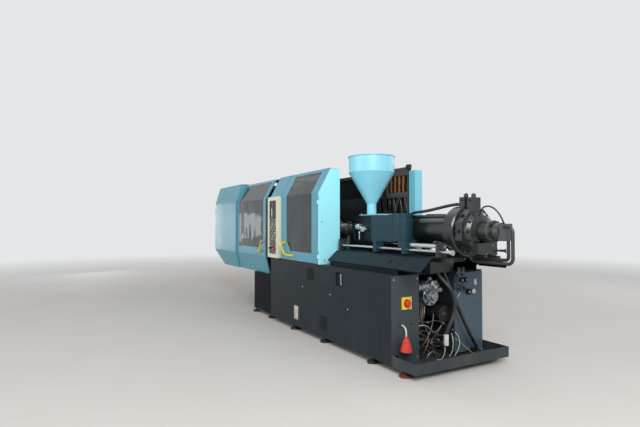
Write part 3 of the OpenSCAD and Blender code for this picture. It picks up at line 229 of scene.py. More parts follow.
def mouldedPlastic(name, colour, shade, rough=0.34, grain=0.2):
    # injection moulded ABS or nylon: even colour, light spark-eroded grain, rubbed patches
    made, tree, shader, coords = newMaterial(name, {"IOR": 1.53})
    rubbed = cloud(tree, coords, 22.0, 0.4, 0.7)
    fine = cloud(tree, coords, 600.0, 0.2, 0.8)
    tree.links.new(overlay(tree, colour, shade, rubbed, 0.35), shader.inputs["Base Color"])
    vary(tree, shader, "Roughness", rubbed, rough - 0.06, rough + 0.12)
    relief(tree, shader, fine, 0.0002, grain)
    return made


def hoseRubber(name):
    # extruded synthetic rubber with a cloth-marked skin: near black, soft highlight, grey with dust on top
    made, tree, shader, coords = newMaterial(name)
    patch = cloud(tree, coords, 11.0, 0.4, 0.7)
    wrap = cloud(tree, coords, 220.0, 0.3, 0.7)
    tone = overlay(tree, "#121315", "#3A3A38", patch, 0.4)
    tone = overlay(tree, tone, "#3A3A38", band(tree, coords, "Normal", 2, 0.4, 1.0), 0.3)
    tree.links.new(tone, shader.inputs["Base Color"])
    vary(tree, shader, "Roughness", patch, 0.3, 0.53)
    relief(tree, shader, wrap, 0.0005, 0.3)
    return made


def clearPane(name):
    # extruded polycarbonate, lightly scratched and smoky, as a machine guard's window is
    made, tree, shader, coords = newMaterial(name, {"IOR": 1.58, "Specular IOR Level": 0.3})
    haze = cloud(tree, coords, 3.2, 0.46, 0.72, (1.0, 1.0, 0.7), 5.0)
    scratch = cloud(tree, coords, 40.0, 0.58, 0.7, (6.0, 1.0, 0.5))
    tree.links.new(overlay(tree, "#47565B", "#5E757D", haze, 0.3), shader.inputs["Base Color"])
    vary(tree, shader, "Roughness", scratch, 0.05, 0.22)
    vary(tree, shader, "Transmission Weight", haze, 0.97, 0.88)
    # a thin sheet screwed to a frame is never flat, so what it mirrors is wavy
    relief(tree, shader, cloud(tree, coords, 3.0, 0.2, 0.8, (1.0, 1.0, 0.8), 1.0), 0.016, 0.5)
    return made


def membranePad(name):
    # screen-printed polyester membrane over keys: olive grey with a fine grain and greasy finger marks
    made, tree, shader, coords = newMaterial(name)
    fine = cloud(tree, coords, 500.0, 0.25, 0.75)
    marks = cloud(tree, coords, 26.0, 0.42, 0.62)
    tree.links.new(overlay(tree, "#3B3B33", "#6C6A5C", marks, 0.6), shader.inputs["Base Color"])
    vary(tree, shader, "Roughness", marks, 0.5, 0.3)
    relief(tree, shader, fine, 0.0002, 0.3)
    return made


def twoTone(name, split, first, second, rough=0.35, axis=2, metal=0.0):
    # one moulded or painted part whose far end is another colour, such as a yellow grip on a plated bow
    made, tree, shader, coords = newMaterial(name)
    far = band(tree, coords, "Object", axis, split - 0.004, split + 0.004)
    worn = cloud(tree, coords, 30.0, 0.4, 0.7)
    tone = overlay(tree, overlay(tree, first, second, far), "#6E6A58", worn, 0.2)
    tree.links.new(tone, shader.inputs["Base Color"])
    vary(tree, shader, "Roughness", worn, rough - 0.05, rough + 0.12)
    vary(tree, shader, "Metallic", far, 0.0, metal)
    relief(tree, shader, worn, 0.0002, 0.2)
    return made


def cardsWithPaintedShade(name, centre, pitch):
    # glass laminate cards in orange solder resist; every second one is near black, which is painted shade of
    # the gaps between the cards
    made, tree, shader, coords = newMaterial(name)
    place = addNode(tree, "ShaderNodeSeparateXYZ", {0: coords.outputs["Object"]}).outputs[0]
    start = addNode(tree, "ShaderNodeMath", {0: place, 1: centre + datumX}, operation="SUBTRACT").outputs[0]
    away = addNode(tree, "ShaderNodeMath", {0: start, 1: pitch / 2}, operation="PINGPONG").outputs[0]
    # bright as far as 14 mm from a bright card's middle, and near black painted shade from 18 mm
    paintedShade = addNode(tree, "ShaderNodeMapRange", {"Value": away, "From Min": 0.014, "From Max": 0.018})
    worn = cloud(tree, coords, 30.0, 0.4, 0.7)
    tone = overlay(tree, "#B4763A", "#6E4524", worn, 0.4)
    tone = overlay(tree, tone, "#1E1712", paintedShade.outputs[0])
    tree.links.new(tone, shader.inputs["Base Color"])
    vary(tree, shader, "Roughness", worn, 0.4, 0.6)
    relief(tree, shader, worn, 0.0002, 0.2)
    return made


finishes = {
    "basePaint": sprayedSheet("enamelAnthracite", "#1E272C", "#384146", rough=0.42, soil=0.3, gloss=0.15),
    "standPaint": sprayedSheet("enamelStandBlack", "#101516", "#22282A", rough=0.5, soil=0.3, gloss=0.06),
    # painted light: the base's end panel has a paler copy of the anthracite enamel, as if lit from that end
    "litEndPaint": sprayedSheet("enamelAnthraciteLitEnd", "#2C363D", "#535B61", rough=0.42, soil=0.3),
    "tankPaint": sprayedSheet("enamelBlueGrey", "#3C4F5E", "#5A6872", rough=0.42, soil=0.4,
                              other={"by": "Object", "axis": 1, "off": 0.168, "on": 0.160,
                                     "paint": "#14181A"}),
    "panPaint": sprayedSheet("enamelTray", "#222D33", "#464C4C", rough=0.36, soil=0.5),
    "tealPaint": sprayedSheet("enamelTurquoise", "#519AB0", "#7BA6B2", rough=0.34, soil=0.15, coat=0.15,
                              gloss=0.4),
    # painted shade: the rear guard's faces turned towards the operator, its inside, are near black
    "rearTeal": sprayedSheet("enamelTurquoiseRear", "#57A2B8", "#83ADB8", rough=0.4, soil=0.15,
                             other={"by": "Normal", "axis": 1, "off": 0.3, "on": -0.3, "paint": "#1B2529"}),
    # painted light: the cabinet's cover column has a paler copy of the turquoise enamel, as if lit
    "litColumnTeal": sprayedSheet("enamelTurquoiseLitColumn", "#7CCBE1", "#9BD0DC", rough=0.38, soil=0.15, coat=0.1),
    # painted light: the guard's end plate has a much paler copy of the turquoise enamel, as if lit
    "litEndTeal": sprayedSheet("enamelTurquoiseLitEnd", "#9FF0FE", "#BCEAF2", rough=0.38, soil=0.15, coat=0.1),
    "slopePaint": sprayedSheet("enamelBlackGreen", "#101D23", "#1F2A2C", rough=0.36, soil=0.3, gloss=0.12),
    "creamPaint": sprayedSheet("enamelCream", "#E3E0CC", "#B9B39C", rough=0.4, soil=0.25),
    "cabinetPaint": sprayedSheet("enamelGreyBrown", "#514E48", "#6B675E", rough=0.55, soil=0.3,
                                 other={"by": "Object", "axis": 1, "off": 0.436, "on": 0.440,
                                        "paint": "#131517"}),
    "hopperPaint": sprayedSheet("enamelLightBlue", "#84D4EA", "#B4DDE6", rough=0.34, soil=0.15, coat=0.25),
    # painted shade: the feed housing is near black on its end towards the clamp, short of X 1.52
    "housingPaint": sprayedSheet("enamelPetrol", "#163744", "#374E55", rough=0.36, soil=0.2, coat=0.1,
                                 gloss=0.2, other={"by": "Object", "axis": 0, "off": 1.526 + datumX,
                                                   "on": 1.518 + datumX, "paint": "#15191C"}),
    "lightGrey": sprayedSheet("enamelLightGrey", "#B9BFBF", "#8E8F89", rough=0.4, soil=0.2),
    "bedPaint": oiledPaint("enamelBedBlack", "#181C1E", "#3C4140", rough=0.4, oil=0.2),
    "driveBlack": oiledPaint("enamelOiledBlack", "#0E1315", "#2D3231", rough=0.26, oil=0.4),
    "motorPaint": oiledPaint("enamelMotorGrey", "#33393A", "#5C615E", rough=0.34, oil=0.3),
    "pumpMotorPaint": castIron("castMotorGrey", "#242B2E", "#4C504D"),
    "platenIron": castIron("castPlatenGreen", "#4E5C58", "#7C827C"),
    "chrome": groundSteel("chromedBar"),
    "dull": dullSteel("agedSteel", "#9B9C9A", "#5A5148", rough=0.42, staining=0.5),
    "barrelSteel": dullSteel("heatTintedSteel", "#6E6A66", "#3B332E", rough=0.4, staining=0.7),
    "castPump": dullSteel("castAluminium", "#C9CDCE", "#54534F", rough=0.3, staining=0.7),
    "latchSteel": dullSteel("latchSteel", "#B9BCBE", "#6A6B68", rough=0.35, staining=0.3),
    "oiledBolt": dullSteel("oiledBolt", "#4E504E", "#242220", rough=0.3, staining=0.6),
    "pipeSteel": dullSteel("pipeSteel", "#4C5150", "#302B27", rough=0.4, staining=0.55),
    "pipeBrown": dullSteel("pipeRusty", "#6B6058", "#3A2A22", rough=0.45, staining=0.9),
    "rubber": hoseRubber("hoseRubber"),
    "footRubber": twoTone("footRubber", 2.0 + datumX, "#17110F", "#5E201C", rough=0.6, axis=0),
    "cordSheath": mouldedPlastic("cordSheath", "#C9CAC5", "#9C9B94", rough=0.42),
    "redPlastic": mouldedPlastic("nylonRed", "#C9382C", "#8F2A22"),
    "yellowPlastic": mouldedPlastic("absYellow", "#E5CC22", "#B39B1E"),
    "handleYellow": mouldedPlastic("gripYellow", "#E6CE1C", "#A89620"),
    "handleTwoTone": twoTone("gripSilverYellow", 1.118, "#DFC51E", "#B8BCBC", metal=0.6),
    "pane": clearPane("polycarbonateSmoky"),
    "membrane": membranePad("membranePolyester"),
    "keyPale": mouldedPlastic("keyPale", "#A9A48E", "#7C7868", rough=0.45),
    "keyDark": mouldedPlastic("keyDark", "#1E2022", "#3B3B38", rough=0.42),
    "displayGlass": mouldedPlastic("displayGlass", "#10181A", "#1B2426", rough=0.12, grain=0.02),
    "lampRed": mouldedPlastic("lampRed", "#7A231C", "#4D1A16", rough=0.2, grain=0.05),
    "barePlate": mouldedPlastic("barePlate", "#C3C4BE", "#8E8F88", rough=0.4),
    "wireYellow": mouldedPlastic("wireYellow", "#B7A23A", "#6F7A3A", rough=0.45),
    "wireGrey": mouldedPlastic("wireGrey", "#6E716F", "#4A4C4B", rough=0.45),
    "ductGrey": mouldedPlastic("ductGrey", "#55585A", "#3F4142", rough=0.5),
    "card": cardsWithPaintedShade("laminateOrange", 1.0845, 0.080),        # a bright card's middle, and their pitch
}
print("finishes made:", len(finishes))

finishOfNode = {
    "standPaint": ["clamp_stand"],
    "basePaint": ["bed_frame", "front_panel", "cabinet_door_left", "cabinet_door_right", "guard_frame"],
    "litEndPaint": ["end_panel"],
    "tankPaint": ["oil_tank"],
    "panPaint": ["drip_pan"],
    "tealPaint": ["clamp_cover", "centre_guard", "sliding_guard", "hinged_guard"],
    "litColumnTeal": ["cabinet_cover"],
    "rearTeal": ["rear_guard"],
    "litEndTeal": ["guard_end_plate"],
    "slopePaint": ["slope_covers"],
    "bedPaint": ["injection_bed"],
    "creamPaint": ["terminal_housing"],
    "cabinetPaint": ["control_cabinet"],
    "hopperPaint": ["hopper"],
    "housingPaint": ["feed_housing"],
    "driveBlack": ["injection_cylinder"],
    "motorPaint": ["hydraulic_motor"],
    "pumpMotorPaint": ["pump_motor"],
    "platenIron": ["fixed_platen", "cylinder_platen", "moving_platen"],
    "chrome": ["tie_bars", "guide_rods", "carriage_rods", "clamp_ram", "ejector_rod", "injection_piston",
               "screw"],
    "dull": ["tie_bar_nuts", "heater_bands", "hopper_gate", "switchgear"],
    "barrelSteel": ["barrel"],
    "castPump": ["hydraulic_pump"],
    "latchSteel": ["latch_handle"],
    "lightGrey": ["carriage_cylinders"],
    "pipeSteel": ["motor_pipes"],
    "pipeBrown": ["pilot_pipes"],
    "rubber": ["feed_hoses", "injection_hoses", "cabinet_cables"],
    "footRubber": ["levelling_feet"],
    "redPlastic": ["supply_plug", "main_switch_handle", "emergency_stop"],
    "yellowPlastic": ["main_switch_plate"],
    "handleYellow": ["hinged_handle"],
    "handleTwoTone": ["sliding_handle"],
    "pane": ["sliding_window", "hinged_window"],
    "membrane": ["terminal_panel"],
    "card": ["card_rack"],
    "cordSheath": ["supply_cord"],
}
for finish, names in finishOfNode.items():
    for name in names:
        for holder in nodes[name].material_slots:
            holder.material = finishes[finish]
print("finishes given to", sum(len(names) for names in finishOfNode.values()), "nodes")


# mesh tools: each adds its form to a bmesh, finishPiece makes that a piece, and runTubes makes one of curves


def rodInto(shape, start, end, radius, endRadius=None, sides=20):
    start, end = Vector(start), Vector(end)
    axis = end - start
    turned = axis.to_track_quat("Z", "Y").to_matrix().to_4x4()
    bmesh.ops.create_cone(shape, cap_ends=True, segments=sides, radius1=radius,
                          radius2=radius if endRadius is None else endRadius, depth=axis.length,
                          matrix=Matrix.Translation((start + end) / 2) @ turned)


def turnedInto(shape, foot, axis, steps):
    # a turned or hexagonal part in steps from its foot, each a (length, radius, end radius, sides)
    foot, axis = Vector(foot), Vector(axis)
    for length, radius, endRadius, sides in steps:
        rodInto(shape, foot, foot + axis * length, radius, endRadius, sides)
        foot = foot + axis * length


def softBoxInto(shape, low, high, radius):
    low, high = Vector(low), Vector(high)
    made = bmesh.ops.create_cube(shape, size=1.0)["verts"]
    bmesh.ops.scale(shape, vec=high - low, verts=made)
    bmesh.ops.translate(shape, vec=(high + low) / 2, verts=made)
    edges = list({edge for vert in made for edge in vert.link_edges})
    bmesh.ops.bevel(shape, geom=edges, offset=radius, segments=2, profile=0.5, affect="EDGES", material=-1)


def sheetInto(shape, low, high, depths, radius):
    # a thin box that faces the operator: corners in X and Z, then its front and back in Y
    softBoxInto(shape, (low[0], depths[0], low[1]), (high[0], depths[1], high[1]), radius)


def frameInto(shape, low, high, wide, depths):
    # four bars round an opening that faces the operator
    (x0, z0), (x1, z1) = low, high
    bars = [((x0 - wide, z0 - wide), (x1 + wide, z0)), ((x0 - wide, z1), (x1 + wide, z1 + wide)),
            ((x0 - wide, z0), (x0, z1)), ((x1, z0), (x1 + wide, z1))]
    for barLow, barHigh in bars:
        sheetInto(shape, barLow, barHigh, depths, 0.001)


def ringInto(shape, centre, axis, ringRadius, wireRadius, steps=48, sides=10):
    # a closed round bead: a circle spun once about the axis, made on its own and then added
    bead = bmesh.new()
    upright = Matrix.Translation((ringRadius, 0, 0)) @ Matrix.Rotation(math.pi / 2, 4, "X")
    section = bmesh.ops.create_circle(bead, segments=sides, radius=wireRadius, matrix=upright)["verts"]
    edges = list({edge for vert in section for edge in vert.link_edges})
    bmesh.ops.spin(bead, geom=section + edges, cent=(0, 0, 0), axis=(0, 0, 1), angle=2 * math.pi, steps=steps,
                   use_merge=True)
    turned = Vector(axis).to_track_quat("Z", "Y").to_matrix().to_4x4()
    bmesh.ops.transform(bead, matrix=Matrix.Translation(centre) @ turned, verts=bead.verts)
    held = bpy.data.meshes.new("bead")
    bead.to_mesh(held)
    bead.free()
    shape.from_mesh(held)
    bpy.data.meshes.remove(held)


def boltsInto(shape, centre, axis, ring, count, size, height, start=0.0):
    # a ring of socket screws on plain washers; a washer takes a quarter of the height
    centre, axis = Vector(centre), Vector(axis)
    side = axis.orthogonal().normalized()
    washer, head = size * 0.72, size * 0.5
    for i in range(count):
        out = Matrix.Rotation(start + 2 * math.pi * i / count, 3, axis) @ side
        turnedInto(shape, centre + out * ring, axis,
                   [(height * 0.25, washer, washer, 14), (height * 0.75, head, head, 10)])


def coilInto(coils, plugs, place, coil):
    # a valve's coil with the nut on its top and the square plug of its lead at its side
    place = Vector(place)
    turnedInto(coils, place, (0, 0, 1), coil["steps"])
    softBoxInto(plugs, place + Vector(coil["plugLow"]), place + Vector(coil["plugHigh"]), 0.003)


def finishPiece(name, shape, finish, body="machine", rounding=0.0):
    bmesh.ops.recalc_face_normals(shape, faces=shape.faces)
    bmesh.ops.translate(shape, vec=(datumX, 0.0, 0.0), verts=shape.verts)
    mesh = bpy.data.meshes.new(name)
    shape.to_mesh(mesh)
    shape.free()
    mesh.materials.append(finishes[finish])
    for face in mesh.polygons:
        face.use_smooth = True
    mesh.set_sharp_from_angle(angle=math.radians(38))
    piece = bpy.data.objects.new(name, mesh)
    bpy.context.scene.collection.objects.link(piece)
    if rounding:
        bevel = piece.modifiers.new("edge", "BEVEL")
        bevel.width = rounding
        bevel.segments = 2
        bevel.limit_method = "ANGLE"
    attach(piece, body)


def runTubes(name, routes, radius, finish, slotName, roundness=3):
    # each route is one soft tube through its points, fixed to the machine
    data = bpy.data.curves.new(name, "CURVE")
    data.dimensions = "3D"
    data.bevel_depth = radius
    data.bevel_resolution = roundness
    data.use_fill_caps = True
    data.resolution_u = 8
    data.materials.append(finishes[finish])
    for route in routes:
        line = data.splines.new("BEZIER")
        line.bezier_points.add(len(route) - 1)
        for point, place in zip(line.bezier_points, route):
            point.co = fromDatum(place)
            point.handle_left_type = point.handle_right_type = "AUTO"
    piece = bpy.data.objects.new(name, data)
    bpy.context.scene.collection.objects.link(piece)
    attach(piece, "machine")
    return piece


# supply cord: a short stiff lead out of the gland in the end panel, bent down into its plug

cordSettings = {
    "route": [(2.260, -0.5035, 0.437), (2.280, -0.5035, 0.435), (2.300, -0.5035, 0.427),
              (2.316, -0.5035, 0.411), (2.324, -0.5035, 0.391), (2.326, -0.5035, 0.369),
              (2.326, -0.5035, 0.345)],
    "diameter": 0.016,
    "length": 0.132,
}
supplyLead = runTubes("supplyLead", [cordSettings["route"]], cordSettings["diameter"] / 2, "cordSheath",
                      "cord_grey", roundness=5)
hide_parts("supply_cord")
print("supply cord laid")


# operator's terminal: display in its bezel, rows of keys, a row of lamps and two knobs on the membrane

terminalSettings = {
    "rows": 6, "columns": 5,
    "firstKey": (-0.490, 1.1755), "pitch": (0.0406, 0.042), "keySize": (0.026, 0.027),
    "keyDepths": (-0.6672, -0.6642),        # depths are front and back in Y
    "displayLow": (-0.482, 1.493), "displayHigh": (-0.309, 1.713), "displayDepths": (-0.6618, -0.6603),
    "bezelWide": 0.012, "bezelDepths": (-0.6667, -0.6634),
    "lamps": 8, "firstLamp": (-0.490, -0.6637, 1.452), "lampPitch": 0.027, "lampRadius": 0.006,
    "lampFlat": 0.6,
    "knobs": [(-0.478, 1.060), (-0.422, 1.060)], "knobFoot": -0.6632,
    "knobSteps": [(0.0048, 0.019, 0.0175, 28), (0.0170, 0.0135, 0.0120, 24)],
    "gripHalf": (0.003, 0.0125), "gripDepths": (-0.6905, -0.6835),
}


def buildTerminal(settings):
    pale, dark = bmesh.new(), bmesh.new()
    (x0, z0), (stepX, stepZ), (wide, tall) = settings["firstKey"], settings["pitch"], settings["keySize"]
    for row in range(settings["rows"]):
        for column in range(settings["columns"]):
            x, z = x0 + column * stepX, z0 + row * stepZ
            shape = dark if (row * 3 + column * 2) % 5 < 2 else pale
            sheetInto(shape, (x, z), (x + wide, z + tall), settings["keyDepths"], 0.0012)
    finishPiece("terminalKeysPale", pale, "keyPale")
    finishPiece("terminalKeysDark", dark, "keyDark")

    glass, rim = bmesh.new(), bmesh.new()
    low, high = settings["displayLow"], settings["displayHigh"]
    sheetInto(glass, low, high, settings["displayDepths"], 0.0006)
    finishPiece("terminalDisplay", glass, "displayGlass")
    frameInto(rim, low, high, settings["bezelWide"], settings["bezelDepths"])
    finishPiece("terminalBezel", rim, "keyDark")

    lamps, knobs = bmesh.new(), bmesh.new()
    flat = Matrix.Diagonal((1.0, settings["lampFlat"], 1.0, 1.0))
    for i in range(settings["lamps"]):
        place = Vector(settings["firstLamp"]) + Vector((settings["lampPitch"] * i, 0, 0))
        bmesh.ops.create_uvsphere(lamps, u_segments=12, v_segments=8, radius=settings["lampRadius"],
                                  matrix=Matrix.Translation(place) @ flat)
    finishPiece("terminalLamps", lamps, "lampRed")
    halfWide, halfTall = settings["gripHalf"]
    for x, z in settings["knobs"]:
        turnedInto(knobs, (x, settings["knobFoot"], z), (0, -1, 0), settings["knobSteps"])
        sheetInto(knobs, (x - halfWide, z - halfTall), (x + halfWide, z + halfTall), settings["gripDepths"],
                  0.0012)
    finishPiece("terminalKnobs", knobs, "keyDark")


buildTerminal(terminalSettings)
print("terminal dressed")


# base: screws in the front sheets and in the two end sheets, and a bare nameplate in its dark frame

baseSettings = {
    "front": -0.6175,
    "screws": {"machine": [(0.443, 0.600)], "left_door": [(1.125, 0.588)], "right_door": [(1.495, 0.476)]},
    "screwSteps": [(0.0017, 0.010, 0.010, 18), (0.0030, 0.0066, 0.0050, 14)],
    "openingLow": (0.204, 0.149), "openingHigh": (0.366, 0.335), "bar": 0.008,
    "frameDepths": (-0.6215, -0.6175), "backDepths": (-0.6188, -0.6176),
    "plateLow": (0.206, 0.156), "plateHigh": (0.318, 0.330), "plateDepths": (-0.6204, -0.6188),
    "guardEnd": 0.880, "guardScrews": [(-0.546, 0.963), (-0.585, 1.430), (-0.360, 0.960)],
    "guardSteps": [(0.0015, 0.010, 0.010, 18), (0.0035, 0.0066, 0.0050, 14)],
    "baseEnd": 2.250, "panelScrews": [(-0.590, 0.110), (-0.590, 0.870), (-0.300, 0.870), (-0.300, 0.110)],
    "panelSteps": [(0.0015, 0.009, 0.009, 18), (0.0030, 0.0058, 0.0045, 14)],
}


def buildBaseTrim(settings):
    for body, places in settings["screws"].items():
        shape = bmesh.new()
        for x, z in places:
            turnedInto(shape, (x, settings["front"], z), (0, -1, 0), settings["screwSteps"])
        finishPiece("panelScrews_" + body, shape, "latchSteel", body)

    border, plate, ends = bmesh.new(), bmesh.new(), bmesh.new()
    low, high = settings["openingLow"], settings["openingHigh"]
    frameInto(border, low, high, settings["bar"], settings["frameDepths"])
    sheetInto(border, low, high, settings["backDepths"], 0.0003)
    finishPiece("plateFrame", border, "keyDark")
    sheetInto(plate, settings["plateLow"], settings["plateHigh"], settings["plateDepths"], 0.0005)
    finishPiece("barePlate", plate, "barePlate")

    for y, z in settings["guardScrews"]:
        turnedInto(ends, (settings["guardEnd"], y, z), (1, 0, 0), settings["guardSteps"])
    for y, z in settings["panelScrews"]:
        turnedInto(ends, (settings["baseEnd"], y, z), (1, 0, 0), settings["panelSteps"])
    finishPiece("endScrews", ends, "latchSteel")


buildBaseTrim(baseSettings)
print("base dressed")


# main switch: four plate screws, the red collar and the round part of the rotary handle

switchSettings = {
    "centre": (-0.4375, 0.640), "front": 2.260,
    "screwReach": 0.047, "screwSteps": [(0.0025, 0.0055, 0.0045, 14)],
    "collarSteps": [(0.0002, 0.041, 0.041, 40)], "collarRing": 0.039, "collarWire": 0.0022,
    "knobFoot": 2.2765, "knobSteps": [(0.0165, 0.0335, 0.0300, 32)],
}


def buildSwitchTrim(settings):
    y, z = settings["centre"]
    front, reach = settings["front"], settings["screwReach"]
    screws, collar, knob = bmesh.new(), bmesh.new(), bmesh.new()
    for side in (-reach, reach):
        for lift in (-reach, reach):
            turnedInto(screws, (front, y + side, z + lift), (1, 0, 0), settings["screwSteps"])
    finishPiece("switchScrews", screws, "latchSteel")
    turnedInto(collar, (front, y, z), (1, 0, 0), settings["collarSteps"])
    ringInto(collar, (front + 0.001, y, z), (1, 0, 0), settings["collarRing"], settings["collarWire"])
    finishPiece("switchCollar", collar, "redPlastic")
    turnedInto(knob, (settings["knobFoot"], y, z), (1, 0, 0), settings["knobSteps"])
    finishPiece("switchKnob", knob, "redPlastic", "main_switch", rounding=0.003)


buildSwitchTrim(switchSettings)
print("main switch dressed")


# hopper: rolled rim, welded seams round the cone's top and foot and up its sides, and its base's screws

hopperSettings = {
    "axis": 1.095, "radius": 0.280, "neck": 0.0585,
    "rimZ": 2.2285, "seamZ": 2.034, "neckZ": 1.650, "baseZ": 1.521,
    "rimOut": 0.005, "rimWire": 0.0065, "rimUnder": 0.006, "seamWire": 0.0026, "neckWire": 0.0022,
    "weld": 0.0016, "weldProud": 0.0003, "weldAngles": (118, -62),
    "screwsX": 0.100, "screwsY": 0.080, "screwSteps": [(0.003, 0.011, 0.011, 16), (0.009, 0.0075, 0.0075, 6)],
}


def buildHopperTrim(settings):
    x, radius, neck = settings["axis"], settings["radius"], settings["neck"]
    rim, seam, foot = (Vector((x, 0, settings[key])) for key in ("rimZ", "seamZ", "neckZ"))
    shape, screws = bmesh.new(), bmesh.new()
    ringInto(shape, rim, (0, 0, 1), radius + settings["rimOut"], settings["rimWire"], steps=96)
    ringInto(shape, seam, (0, 0, 1), radius, settings["seamWire"], steps=96, sides=8)
    ringInto(shape, foot, (0, 0, 1), neck, settings["neckWire"], steps=48, sides=8)
    for degrees in settings["weldAngles"]:
        angle = math.radians(degrees)
        out = Vector((math.cos(angle), math.sin(angle), 0))
        coneFoot = foot + out * (neck + settings["weldProud"])
        coneTop = seam + out * (radius + settings["weldProud"])
        drumTop = Vector((coneTop.x, coneTop.y, rim.z - settings["rimUnder"]))
        rodInto(shape, coneFoot, coneTop, settings["weld"], sides=8)
        rodInto(shape, coneTop, drumTop, settings["weld"], sides=8)
    finishPiece("hopperSeams", shape, "hopperPaint", "carriage")
    for dx in (-settings["screwsX"], settings["screwsX"]):
        for dy in (-settings["screwsY"], settings["screwsY"]):
            turnedInto(screws, (x + dx, dy, settings["baseZ"]), (0, 0, 1), settings["screwSteps"])
    finishPiece("hopperScrews", screws, "dull", "carriage")


buildHopperTrim(hopperSettings)
print("hopper dressed")


# drive end: screw rings of cap and motor, the nuts on the octagonal ring, two valve coils with their plugs

driveSettings = {
    # centre, axis, ring radius, count, size, height and the turn of the first screw
    "screwRings": [((2.764, 0, 1.335), (1, 0, 0), 0.166, 12, 0.021, 0.020, math.radians(15)),
                   ((2.943, 0, 1.335), (1, 0, 0), 0.085, 6, 0.015, 0.013, math.radians(30))],
    "ringCentre": (2.695, 0, 1.335), "ringOut": 0.2025, "ringSides": 8,
    "nutSteps": [(0.005, 0.021, 0.021, 20), (0.014, 0.0165, 0.0165, 6), (0.008, 0.0085, 0.0085, 14)],
    "coils": [(2.6225, -0.020, 1.655), (2.703, -0.0075, 1.650)],
    "coil": {"steps": [(0.030, 0.021, 0.021, 24), (0.008, 0.0125, 0.0125, 6)],
             "plugLow": (-0.014, -0.052, -0.042), "plugHigh": (0.014, -0.018, -0.012)},
    "gland": (0, -0.050, -0.027), "glandSteps": [(0.016, 0.008, 0.008, 14)],
}


def buildDriveTrim(settings):
    screws, nuts, coils, plugs = bmesh.new(), bmesh.new(), bmesh.new(), bmesh.new()
    for ring in settings["screwRings"]:
        boltsInto(screws, *ring)
    finishPiece("driveScrews", screws, "oiledBolt", "carriage")

    # each face of the octagonal ring carries a short tie bar's end with its nut
    centre = Vector(settings["ringCentre"])
    for k in range(settings["ringSides"]):
        angle = 2 * math.pi * k / settings["ringSides"]
        out = Vector((0, math.cos(angle), math.sin(angle)))
        turnedInto(nuts, centre + out * settings["ringOut"], out, settings["nutSteps"])
    finishPiece("ringNuts", nuts, "oiledBolt", "carriage")

    for place in settings["coils"]:
        coilInto(coils, plugs, place, settings["coil"])
        turnedInto(plugs, Vector(place) + Vector(settings["gland"]), (0, -1, 0), settings["glandSteps"])
    finishPiece("valveCoils", coils, "driveBlack", "carriage")
    finishPiece("valvePlugs", plugs, "keyDark", "carriage")


buildDriveTrim(driveSettings)
print("drive end dressed")


# barrel side: the shut-off valve with its bright nozzle, and the post that steadies the front guide rod

valveSettings = {
    "blocks": [((1.036, -0.204, 1.338), (1.104, -0.1502, 1.404)),
               ((1.108, -0.190, 1.312), (1.196, -0.1502, 1.372)),
               ((1.052, -0.222, 1.352), (1.088, -0.204, 1.390))],
    "spigot": (1.196, -0.170, 1.342), "spigotSteps": [(0.030, 0.018, 0.015, 24)],
    "nozzle": (1.104, -0.186, 1.312),
    "nozzleSteps": [(0.016, 0.017, 0.017, 6), (0.074, 0.0105, 0.0105, 20), (0.014, 0.0140, 0.0110, 20)],
    "post": ((1.118, -0.374, 1.1005), (1.142, -0.346, 1.262)),
}


def buildValve(settings):
    blocks, bright, post = bmesh.new(), bmesh.new(), bmesh.new()
    for low, high in settings["blocks"]:
        softBoxInto(blocks, low, high, 0.004)
    turnedInto(blocks, settings["spigot"], (1, 0, 0), settings["spigotSteps"])
    finishPiece("valveBlocks", blocks, "castPump", "carriage")
    turnedInto(bright, settings["nozzle"], (0, 0, -1), settings["nozzleSteps"])
    finishPiece("valveNozzle", bright, "chrome", "carriage")
    softBoxInto(post, *settings["post"], 0.003)
    finishPiece("rodPost", post, "bedPaint")


buildValve(valveSettings)
print("barrel side dressed")


# pump bay: pump screws and castings, filter cap, hose sleeve, thin pipes with unions, wires with glands

